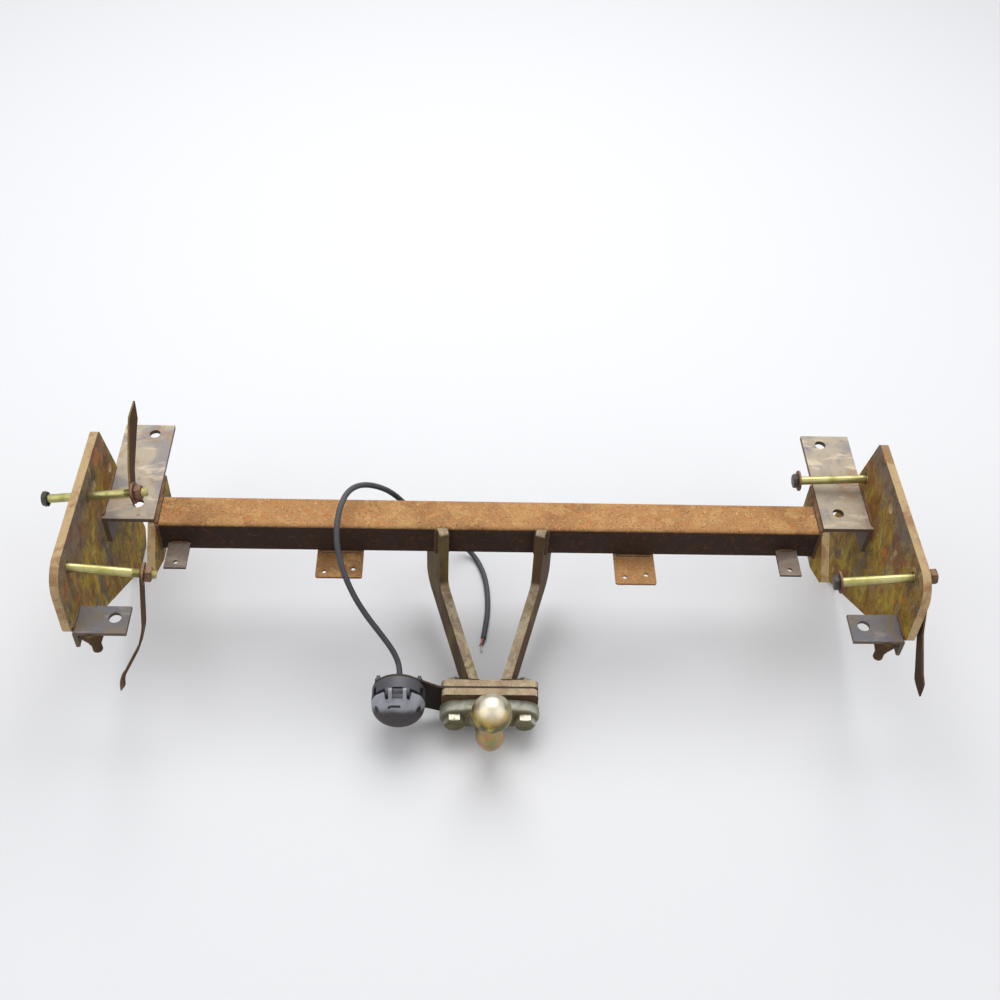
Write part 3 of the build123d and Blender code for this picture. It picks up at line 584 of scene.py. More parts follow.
def moulded(name, base, rough=0.5, seed=0.0, dust=0.25):
    """Moulded plastic or rubber: fine grain, pale scuffs and dust on level faces."""
    finish = Finish(name, seed)
    grain = finish.noise(1500.0, 3.0, 0.6)
    cloud = finish.noise(35.0, 5.0, 0.6)
    level = finish.axis(finish.normal, 2).between(0.2, 0.9)
    pale = tuple(c * 0.5 + 0.10 for c in base)
    coat = finish.mix((cloud.between(0.4, 0.75) * 0.5 + level * 0.5) * dust, base, pale)
    scuff = finish.noise(140.0, 3.0, 0.7, finish.stretched((1.0, 0.2, 1.6)))
    coat = finish.mix(scuff.between(0.64, 0.7) * dust, coat, pale)
    normal = finish.bump(grain, 0.00012, 0.5)
    return finish.surface(coat, rough + cloud * 0.15, 0.0, normal)


def piece_from(name, mesh, material, body, sharp=SHARP_PLATE):
    """Links a mesh as a piece that rides on a body: doubles merged, faces outwards, sharp past an angle."""
    work = bmesh.new()
    work.from_mesh(mesh)
    bmesh.ops.remove_doubles(work, verts=work.verts, dist=MERGE)
    bmesh.ops.recalc_face_normals(work, faces=work.faces)
    work.to_mesh(mesh)
    work.free()
    mesh.polygons.foreach_set("use_smooth", np.ones(len(mesh.polygons), bool))
    mesh.set_sharp_from_angle(angle=math.radians(sharp))
    mesh.materials.append(material)
    piece = bpy.data.objects.new(name, mesh)
    bpy.context.scene.collection.objects.link(piece)
    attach(piece, body)
    return piece


def grid(name, points):
    """A mesh from an array of points, rows by columns: each four neighbours make a face, and the columns
    go round. End rows that shrink to one point become poles, and equal end rows close a ring."""
    rows, columns, _ = points.shape
    index = np.arange(rows * columns).reshape(rows, columns)
    after = np.roll(index, -1, axis=1)
    faces = np.stack([index[:-1], after[:-1], after[1:], index[1:]], axis=-1).reshape(-1, 4)
    mesh = bpy.data.meshes.new(name)
    mesh.from_pydata(points.reshape(-1, 3).tolist(), [], faces.tolist())
    return mesh


def grid_mesh(name, points, material, body, sharp=SHARP_PLATE):
    """A piece from an array of points, rows by columns."""
    return piece_from(name, grid(name, points), material, body, sharp)


def closed(rows, start, stop):
    """Rows of points with a pole before the first row and another after the last."""
    first, last = (np.broadcast_to(np.array(pole, float), (1, rows.shape[1], 3)) for pole in (start, stop))
    return np.concatenate([first, rows, last])


def square_to(axis, hint=(0.0, 0.0, 1.0)):
    """Two directions square to an axis, the first as near to the hint as it can be."""
    axis = np.array(axis, float) / np.linalg.norm(axis)
    first = np.array(hint, float) - axis * np.dot(hint, axis)
    first /= np.linalg.norm(first)
    return first, np.cross(axis, first)


def circle(count):
    """Angles evenly round a circle."""
    return np.linspace(0, 2 * math.pi, count, endpoint=False)


def around(turn, first, second):
    """A ring of directions at each angle, for one pair of directions or for each along a path:
    cos(turn) first + sin(turn) second."""
    return np.cos(turn)[:, None] * first[..., None, :] + np.sin(turn)[:, None] * second[..., None, :]


def turned(origin, axis, rows, flats=None):
    """Points of a turned shape. Each row is a height along the axis and a radius, and flats cuts every
    radius to a hexagon: r = min(radius, flats / cos(angle from the middle of the nearest flat))."""
    axis = np.array(axis, float) / np.linalg.norm(axis)
    rows = np.array(rows, float)
    angle = circle(ROUND_COLUMNS)
    radius = np.repeat(rows[:, 1:2], ROUND_COLUMNS, axis=1)
    if flats:
        off = (angle + math.pi / 6) % (math.pi / 3) - math.pi / 6
        radius = np.minimum(radius, flats / np.cos(off))
    ring = around(angle, *square_to(axis))
    return np.array(origin, float) + rows[:, 0][:, None, None] * axis + radius[:, :, None] * ring


def sheet(name, outline, axis, low, high):
    """A flat outline, as points in the frame, carried along an axis between two places: a strip round its
    edge, and one face at each end."""
    outline = np.array(outline, float)
    axis = np.array(axis, float)
    count = len(outline)
    here = np.arange(count)
    after = np.roll(here, -1)
    strip = np.stack([here, after, after + count, here + count], axis=1).tolist()
    mesh = bpy.data.meshes.new(name)
    mesh.from_pydata(np.concatenate([outline + low * axis, outline + high * axis]).tolist(), [],
                     [*strip, here.tolist(), (here + count).tolist()])
    return mesh


def pierced(low, high, hole, radius, thickness):
    """Points of a level rectangle with a round hole: rings from the hole's wall to the rectangle's edge
    and back below, closed on themselves. The rectangle's edge is at the least of the distances to its
    four sides along each angle, so the angles of its corners are among the columns."""
    corners = np.array([(low[0], low[1]), (high[0], low[1]), (high[0], high[1]), (low[0], high[1])]) - hole
    angle = circle(HOLE_COLUMNS) - math.pi
    angle = np.sort(np.concatenate([angle, np.arctan2(corners[:, 1], corners[:, 0])]))
    way = np.stack([np.cos(angle), np.sin(angle)], axis=1)
    room = np.where(way > 0, np.array(high) - hole, hole - np.array(low)) / np.maximum(np.abs(way), 1e-9)
    reach = room.min(axis=1)
    wall = np.full(len(angle), radius)
    rings = ((wall, 0.0), (reach, 0.0), (reach, -thickness), (wall, -thickness), (wall, 0.0))
    return np.stack([np.column_stack([hole + ring[:, None] * way, np.full(len(angle), level)])
                     for ring, level in rings])


def joined(name, meshes):
    """One mesh made of several."""
    work = bmesh.new()
    for mesh in meshes:
        work.from_mesh(mesh)
    whole = bpy.data.meshes.new(name)
    work.to_mesh(whole)
    work.free()
    for mesh in meshes:
        bpy.data.meshes.remove(mesh)
    return whole


def frames(path):
    """Two directions square to each other and to the path, at each of its points. They are measured from
    the vertical, or from a level line when some part of the path is steep."""
    tangent = np.gradient(path, axis=0)
    tangent /= np.linalg.norm(tangent, axis=1, keepdims=True)
    reference = np.array([0.0, 0.0, 1.0])
    if np.abs(tangent @ reference).max() > 0.9:
        reference = np.array([0.31, 0.95, 0.0])
    side = np.cross(tangent, reference)
    side /= np.linalg.norm(side, axis=1, keepdims=True)
    return side, np.cross(side, tangent)


def along(corners, count=None, step=None):
    """Points on straight runs between corners, a number of them or a step apart, with their places from
    the start and the corners' own places."""
    corners = np.array(corners, float)
    reached = np.concatenate([[0.0], np.cumsum(np.linalg.norm(np.diff(corners, axis=0), axis=1))])
    places = np.linspace(0.0, reached[-1], count or max(8, int(reached[-1] / step)))
    return np.stack([np.interp(places, reached, corners[:, k]) for k in range(3)], axis=1), places, reached


def bead(name, corners, radius, ripple, material, seed):
    """A weld bead on the frame: a tube along the path whose radius swells once each ripple, wanders a
    little and closes at both ends like the end of an ellipse."""
    path, places, _ = along(corners, step=ripple / RIPPLE_ROWS)
    random = np.random.default_rng(seed)
    knots = np.linspace(0, places[-1], BEAD_KNOTS)
    wander = np.interp(places, knots, random.normal(0, BEAD_WANDER, BEAD_KNOTS))
    swell = 1 + BEAD_SWELL * np.abs(np.sin(math.pi * places / ripple)) + wander
    ends = np.minimum(places, places[-1] - places) / (BEAD_END * radius)
    shape = radius * swell * np.sqrt(np.clip(1 - (1 - np.clip(ends, 0, 1)) ** 2, 0, 1))
    points = path[:, None, :] + shape[:, None, None] * around(circle(BEAD_COLUMNS), *frames(path))
    return grid_mesh(name, points, material, "frame", SHARP_BEAD)


def from_bar(x, y, z):
    """A point given in metres from the bar's centre, in the frame."""
    return BAR + np.array((x, y, z))


def node_box(name):
    """A CAD node's box from the bar's centre."""
    low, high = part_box(name)
    return np.array(low) - BAR, np.array(high) - BAR


def inner_outer(low, high, side):
    """The X of a box's face nearest to the bar's middle, then of the one furthest from it."""
    return (low[0], high[0]) if side > 0 else (high[0], low[0])


class TOWBAR_OT_steelwork(bpy.types.Operator):
    """Rusted, worn and plated finishes of the steel pieces"""

    bl_idname = "towbar.steelwork"
    bl_label = "Steelwork"

    def execute(self, context):
        shade = context.scene.towbar_colours
        bright = shade.bright_rust
        dark = shade.old_rust
        # In each weathered finish below, the second colour is painted light on level faces and the first
        # carries painted shade on the other faces
        dress(weathered("bar_rust", shade.bar_side, shade.bar_lit_top, bright, dark, 0.0, 0.60, 0.65, rough=0.82,
                        grit=0.75), "crossbar")
        dress(caked("plate_rust", shade.plate, shade.plate_edge, shade.mud, bright, dark, 3.1),
              "side_plate_left", "side_plate_right", "end_plate_left", "end_plate_right")
        dress(worn("foot_steel", tone("716b66"), shade.blueing, tone("7d6a4a"), dark, 2.9, 0.75),
              "foot_bracket_left", "foot_bracket_right")
        dress(weathered("arm_rust", shade.arm, shade.arm_lit_top, tone("8a5c35"), dark, 5.3, 0.35, 0.45,
                        tone("6d6036"), 0.7), "arm_left", "arm_right")
        dress(weathered("flange_rust", shade.flange, shade.flange_lit_top, tone("9a6a42"), dark, 7.7, 0.35, 0.45,
                        tone("756a45"), 0.4), "arm_flange_plate", "spacer_plate")
        dress(weathered("tab_rust", shade.tab, tone("a87c50"), tone("a8632f"), dark, 4.6, 0.5, 0.5),
              "wide_tab_left", "wide_tab_right")
        dress(weathered("nut_rust", shade.nut, tone("8a6a55"), tone("9a5f38"), dark, 8.2, 0.35, 0.4,
                        metal=0.25, rough=0.6), "bracket_bolts", "bracket_nuts", "foot_bolts", "foot_nuts")
        dress(weathered("stud_rust", tone("4a371f"), tone("6a5230"), tone("7a6428"), dark, 6.1, 0.5, 0.5),
              "foot_studs", "foot_stud_nuts")
        # The last colour is painted shade on forward faces
        dress(plated("zinc_bolt", shade.zinc, tone("77704f"), 0.38, 0.8, 4.4, tone("5a5534")),
              "ball_nuts", "spring_washers")
        dress(plated("small_steel", tone("56565a"), tone("3c3b3e"), 0.5, 0.7, 1.1),
              "lid_hinge_pin", "lid_spring", "socket_screws", "socket_screw_nuts")
        return {"FINISHED"}


class TOWBAR_OT_brackets(bpy.types.Operator):
    """Square-cornered top brackets with their two holes, and level tabs on the bar's front"""

    bl_idname = "towbar.brackets"
    bl_label = "Brackets and tabs"

    def execute(self, context):
        shade = context.scene.towbar_colours
        sizes = context.scene.towbar_sizes
        steel = worn("bracket_steel", shade.bracket, shade.blueing, tone("9a7550"), shade.old_rust, 1.7, 0.55)
        # The narrow tabs' grey top colour is painted light on level faces, the dark brown one carries painted
        # shade on the others
        grey = weathered("tab_grey", tone("3d342d"), shade.grey_tab, tone("7d6149"), shade.old_rust, 6.9, 0.3,
                         0.35, grit=0.35)
        for hand, side in SIDES:
            self.bracket(hand, side, sizes, steel)
            self.tab(hand, sizes, grey)
        return {"FINISHED"}

    def bracket(self, hand, side, sizes, steel):
        """An angle along Y: a level leg in two halves, each with a hole, and a leg down the side plate."""
        low, high = node_box("top_bracket_" + hand)
        inner, outer = inner_outer(low, high, side)
        thick = sizes.bracket_thickness
        across = inner + side * sizes.bracket_hole_in
        middle = (low[1] + high[1]) / 2
        halves = ((low[1], middle, sizes.bracket_hole_front), (middle, high[1], sizes.bracket_hole_rear))
        meshes = []
        for front, back, reach in halves:
            hole = (across, low[1] + reach)
            points = pierced((low[0], front), (high[0], back), hole, sizes.bracket_hole / 2, thick)
            meshes.append(grid("half", BAR + points + (0.0, 0.0, high[2])))
        near = outer - side * thick
        below = high[2] - thick
        leg = ((outer, below), (outer, low[2]), (near, low[2]), (near, below))
        leg = [from_bar(x, low[1], z) for x, z in leg]
        meshes.append(sheet("leg", leg, (0.0, 1.0, 0.0), 0.0, high[1] - low[1]))
        name = "bracket_" + hand
        piece = piece_from(name, joined(name, meshes), steel, "frame")
        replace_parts(piece, "top_bracket_" + hand)

    def tab(self, hand, sizes, grey):
        """A level tab that stands out of the bar's front face, where its node is welded."""
        low, high = node_box("narrow_tab_" + hand)
        top = float(high[2]) - sizes.tab_sink
        front = -HALF_BAR - sizes.tab_reach
        hole = ((low[0] + high[0]) / 2, front + sizes.tab_hole_in)
        points = pierced((low[0], front), (high[0], -HALF_BAR), hole, sizes.tab_hole / 2, sizes.tab_thickness)
        piece = grid_mesh("narrow_" + hand, BAR + points + (0.0, 0.0, top), grey, "frame")
        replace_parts(piece, "narrow_tab_" + hand)


class TOWBAR_OT_ball(bpy.types.Operator):
    """The coupling ball on its forged neck, the forging's two-bolt flange, and the bolts in it"""

    bl_idname = "towbar.ball"
    bl_label = "Ball"

    def execute(self, context):
        shade = context.scene.towbar_colours
        material = self.finish(shade)
        back = float(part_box("tow_ball")[1].y)
        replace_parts(self.neck(back, material), "tow_ball")
        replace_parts(self.flange(back, material), "tow_ball")
        # The last colour is painted shade on forward faces
        zinc = plated("ball_bolt_zinc", shade.zinc, tone("77704f"), 0.38, 0.8, 4.4, tone("5a5534"))
        for hand, side in SIDES:
            self.bolt(hand, side, back - EAR_THICKNESS, zinc)
        return {"FINISHED"}

    def bolt(self, hand, side, face, material):
        """A hexagon head with chamfered corners in front of the flange, and the shank behind it."""
        flats = BALL_BOLT_FLATS / 2
        corner = flats / math.cos(math.pi / 6)
        head = [(0, 0), (0, corner), (BALL_BOLT_CHAMFER - BALL_BOLT_HEAD, corner),
                (-BALL_BOLT_HEAD, flats * HEX_FACE), (-BALL_BOLT_HEAD, 0)]
        shank = [(0, 0), (0, BALL_BOLT_RADIUS), (BALL_BOLT_LENGTH - BALL_SHANK_CHAMFER, BALL_BOLT_RADIUS),
                 (BALL_BOLT_LENGTH, BALL_BOLT_RADIUS - BALL_SHANK_CHAMFER), (BALL_BOLT_LENGTH, 0)]
        centre = (side * BALL_BOLT_PITCH / 2, face, -BALL_BOLT_DROP)
        for kind, rows, cut in (("head", head, flats), ("shank", shank, None)):
            points = turned(centre, (0, 1, 0), rows, cut)
            piece = grid_mesh(f"ball_bolt_{kind}_{hand}", points, material, "frame", SHARP_BOLT)
            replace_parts(piece, "ball_bolts")

    def neck(self, back, material):
        """Ellipses carried along a path: level out of the flange, a quarter bend, then up into the ball.
        Their half axes flare at the flange, narrow to the neck, and follow sqrt(R^2 - z^2) over the ball.
        Each ellipse is drawn in on the outer side of the bend, like the parting side of a forging."""
        face = back - EAR_THICKNESS
        level = -BALL_BOLT_DROP
        bend = NECK_BEND
        rise = level + bend
        flat = math.sqrt(BALL_RADIUS**2 - BALL_FLAT**2)
        start = np.linspace(face + NECK_SINK, bend, NECK_ROWS["level"])
        turn = np.linspace(0, math.pi / 2, NECK_ROWS["bend"])[1:]
        top = math.acos(NECK_TOP_DEPTH / BALL_RADIUS)
        ball = -BALL_RADIUS * np.cos(np.linspace(top, math.pi, NECK_ROWS["ball"]))
        stem = np.linspace(rise, -NECK_TOP_DEPTH, NECK_ROWS["stem"])[1:-1]
        climb = np.concatenate([stem, ball[ball < flat], [flat]])
        depth = np.concatenate([start, bend - bend * np.sin(turn), climb * 0])
        height = np.concatenate([start * 0 + level, rise - bend * np.cos(turn), climb])
        path = np.stack([depth * 0, depth, height], axis=1)
        lean = np.concatenate([start * 0, turn, climb * 0 + math.pi / 2])
        # Half widths across the bend's plane and in it
        flare = np.exp(-np.clip(face - start, 0, None) / NECK_FLARE_LENGTH) * NECK_FLARE
        share = np.clip((face - start) / (face - bend), 0, 1)
        left = (1 - (stem - rise) / (-NECK_TOP_DEPTH - rise)) ** NECK_STEM_POWER
        sphere = np.sqrt(np.clip(BALL_RADIUS**2 - climb[len(stem):] ** 2, 0, None))
        wide, deep = (
            np.concatenate([first + flare - (first - last) * share, turn * 0 + last,
                            NECK_RADIUS + (last - NECK_RADIUS) * left, sphere])
            for first, last in (NECK_ACROSS, NECK_IN_PLANE)
        )
        angle = circle(ROUND_COLUMNS)
        outward = np.stack([lean * 0, -np.sin(lean), -np.cos(lean)], axis=1)
        keel = np.sin(np.clip(lean, 0, math.pi / 2) * 2) ** NECK_KEEL_POWER * NECK_KEEL
        tuck = 1 - keel[:, None] * np.clip(np.sin(angle), 0, 1)[None, :] ** 2
        sideways = (wide[:, None] * np.cos(angle) * tuck)[:, :, None] * np.array((1.0, 0.0, 0.0))
        forwards = (deep[:, None] * np.sin(angle))[:, :, None] * outward[:, None, :]
        points = closed(path[:, None, :] + sideways + forwards, path[0], path[-1])
        return grid_mesh("ball_neck", points, material, "frame", SHARP_ROUND)

    def flange(self, back, material):
        """The outline round three circles: at each angle n, the point c + r n of the circle whose
        c.n + r is greatest. It is carried through the thickness, and its front edge is a quarter circle."""
        angle = circle(FLANGE_COLUMNS)
        way = np.stack([np.cos(angle), np.sin(angle)], axis=1)
        centre = np.array(((-BALL_BOLT_PITCH / 2, 0.0), (BALL_BOLT_PITCH / 2, 0.0), (0.0, 0.0)))
        radius = np.array((EAR_RADIUS, EAR_RADIUS, EAR_MIDDLE_RADIUS))
        chosen = (way @ centre.T + radius).argmax(axis=1)
        front = back - EAR_THICKNESS
        quarter = np.linspace(0, math.pi / 2, ROUNDING_ROWS)
        inset = np.concatenate([[FLANGE_CHAMFER, 0.0, 0.0], FLANGE_ROUNDING * (1 - np.cos(quarter)),
                                [FLANGE_ROUNDING + FLANGE_RIM]])
        depth = np.concatenate([[back, back - FLANGE_CHAMFER, front + FLANGE_ROUNDING],
                                front + FLANGE_ROUNDING * (1 - np.sin(quarter)), [front]])
        rim = centre[chosen] + (radius[chosen][:, None] - inset[:, None, None]) * way
        depths = np.broadcast_to(depth[:, None], rim.shape[:2])
        rows = np.stack([rim[:, :, 0], depths, rim[:, :, 1] - BALL_BOLT_DROP], axis=2)
        points = closed(rows, (0.0, back, -BALL_BOLT_DROP), (0.0, front, -BALL_BOLT_DROP))
        return grid_mesh("ball_flange", points, material, "frame", SHARP_FLANGE)

    def finish(self, shade):
        """Yellow-green plating with pink clouds on the ball and neck, a near-white painted highlight on top
        and a dark green band of painted reflection round its middle, over a dull grey flange whose front is
        painted a darker olive as shade and is rusty in its hollows."""
        finish = Finish("ball_steel", 0.4)
        height = finish.axis(finish.where, 2)
        back = finish.axis(finish.where, 1)
        front_shade = (finish.axis(finish.normal, 1) * -1.0).between(0.5, 0.9)
        cloud = finish.noise(38.0, 5.0, 0.6, warp=0.7)
        fine = finish.noise(260.0, 5.0, 0.7)
        gold = finish.mix(cloud.between(0.38, 0.64), shade.ball, shade.ball_blush)
        gold = finish.mix(finish.noise(22.0, 4.0, 0.6).between(0.48, 0.62) * 0.7, gold, tone("7f8a5a"))
        gold = finish.mix(finish.noise(300.0, 3.0, 0.6).between(0.56, 0.66) * 0.35, gold, tone("5a5236"))
        # Painted reflection: a dark green band round the ball's middle stands for the surroundings mirrored
        # in it
        reflection_band = (height + (cloud - 0.5) * 0.024).between(-0.014, -0.004) * (1.0 - height.between(0.004, 0.014))
        gold = finish.mix(reflection_band * cloud.between(0.36, 0.52) * 0.85, gold, tone("4c5036"))
        # Painted highlight: the ball's top is painted near white, standing for the lights' reflection on it
        bare = (height + (cloud - 0.5) * 0.016).between(0.008, 0.024)
        flange = finish.mix(cloud.between(0.3, 0.7), shade.forging, tone("7d7868"))
        # Painted shade: the flange's forward faces are painted a darker olive
        flange = finish.mix(front_shade * 0.8, flange, tone("5f5533"))
        flange = finish.mix(fine.between(0.56, 0.68) * 0.5, flange, tone("5e4630"))
        far = (back + (cloud - 0.5) * 0.010).between(0.028, 0.036)
        base = finish.mix(far, gold, flange)
        # Painted highlight on the ball's top
        base = finish.mix(bare * 0.75, base, tone("d2d0bf"))
        rough = 0.36 + far * 0.20 + (fine - 0.5) * 0.15 - bare * 0.04 + cloud.between(0.5, 0.7) * 0.12
        normal = finish.bump(fine * 0.6 + cloud * 0.4, 0.0003, 0.5)
        return finish.surface(base, rough, 0.95 - far * 0.55, normal)


class TOWBAR_OT_welds(bpy.types.Operator):
    """Weld beads where the end plates, brackets, tabs and arms join"""

    bl_idname = "towbar.welds"
    bl_label = "Welds"

    def execute(self, context):
        shade = context.scene.towbar_colours
        sizes = context.scene.towbar_sizes
        # The paler colour is painted light on the beads' level faces, the darker one painted shade on the
        # others
        rust = weathered("weld_rust", tone("54402e"), tone("77593f"), tone("8a5630"), shade.old_rust, 12.0,
                         0.35, 0.5)
        for turn, (hand, side) in enumerate(SIDES):
            seams = self.seams(hand, side, sizes)
            seeds = (*range(1 + turn * len(seams), 1 + (turn + 1) * len(seams)), *ARM_SEEDS)
            for seed, (name, start, stop, share, slot) in zip(seeds, seams + self.arm(hand)):
                corners = (from_bar(*start), from_bar(*stop))
                bead("weld_" + name, corners, sizes.weld * share, sizes.ripple, rust, seed)
        return {"FINISHED"}

    def seams(self, hand, side, sizes):
        """Beads on one side: name, both ends from the bar's centre, share of the weld's radius, and slot."""
        edge = HALF_BAR
        end = side * node_box("crossbar")[1][0]
        ring = ((-edge, edge), (-edge, -edge), (edge, -edge), (edge, edge), (-edge, edge))
        rows = [(f"end_{hand}_{index}", (end, *start), (end, *stop), 1.0, "plate_rust")
                for index, (start, stop) in enumerate(zip(ring, ring[1:]))]
        low, high = node_box("top_bracket_" + hand)
        inner, outer = inner_outer(low, high, side)
        back = node_box("end_plate_" + hand)[1][1]
        rows.append(("bracket_in_" + hand, (inner, low[1], edge), (inner, back, edge), 1.0, "plate_rust"))
        rows.append(("bracket_out_" + hand, (outer, low[1] + BRACKET_SHORT[0], high[2]),
                     (outer, BRACKET_BEAD_BACK, high[2]), 0.9, "plate_rust"))
        low, high = node_box("foot_bracket_" + hand)
        outer = inner_outer(low, high, side)[1]
        rows.append(("foot_" + hand, (outer, low[1] + BRACKET_SHORT[1], high[2]), (outer, high[1], high[2]),
                     0.8, "plate_rust"))
        narrow_top = node_box("narrow_tab_" + hand)[1][2] - sizes.tab_sink
        tabs = (("wide_tab_", TAB_SHORT[0], -edge, 0.7, "tab_steel"),
                ("narrow_tab_", TAB_SHORT[1], narrow_top, 0.6, "tab_grey"))
        for tab, short, level, share, slot in tabs:
            low, high = node_box(tab + hand)
            start, stop = (low[0] + short, -edge, level), (high[0] - short, -edge, level)
            rows.append((tab + hand, start, stop, share, slot))
        return rows

    def arm(self, hand):
        """Beads down both faces of an arm: at the flange plate, and on the bar's front."""
        mesh = NODES["arm_" + hand].data
        points = np.empty(len(mesh.vertices) * 3)
        mesh.vertices.foreach_get("co", points)
        points = points.reshape(-1, 3) - BAR
        plate = node_box("arm_flange_plate")[1][1]
        tip = points[points[:, 1] < plate + ON_FACE]
        top, bottom = tip[:, 2].max() - ARM_SHORT[0], tip[:, 2].min() + ARM_SHORT[0]
        rows = [(f"arm_tip_{hand}_{index}", (x, plate, top), (x, plate, bottom), 1.0, "arm_rust")
                for index, x in enumerate((tip[:, 0].min(), tip[:, 0].max()))]
        front = points[(np.abs(points[:, 1] + HALF_BAR) < ON_FACE) & (points[:, 2] > -HALF_BAR)]
        high, low = (-HALF_BAR, HALF_BAR - ARM_SHORT[1]), (-HALF_BAR, -HALF_BAR)
        return rows + [(f"arm_bar_{hand}_{index}", (x, *high), (x, *low), 1.1, "arm_rust")
                       for index, x in enumerate((front[:, 0].min(), front[:, 0].max()))]


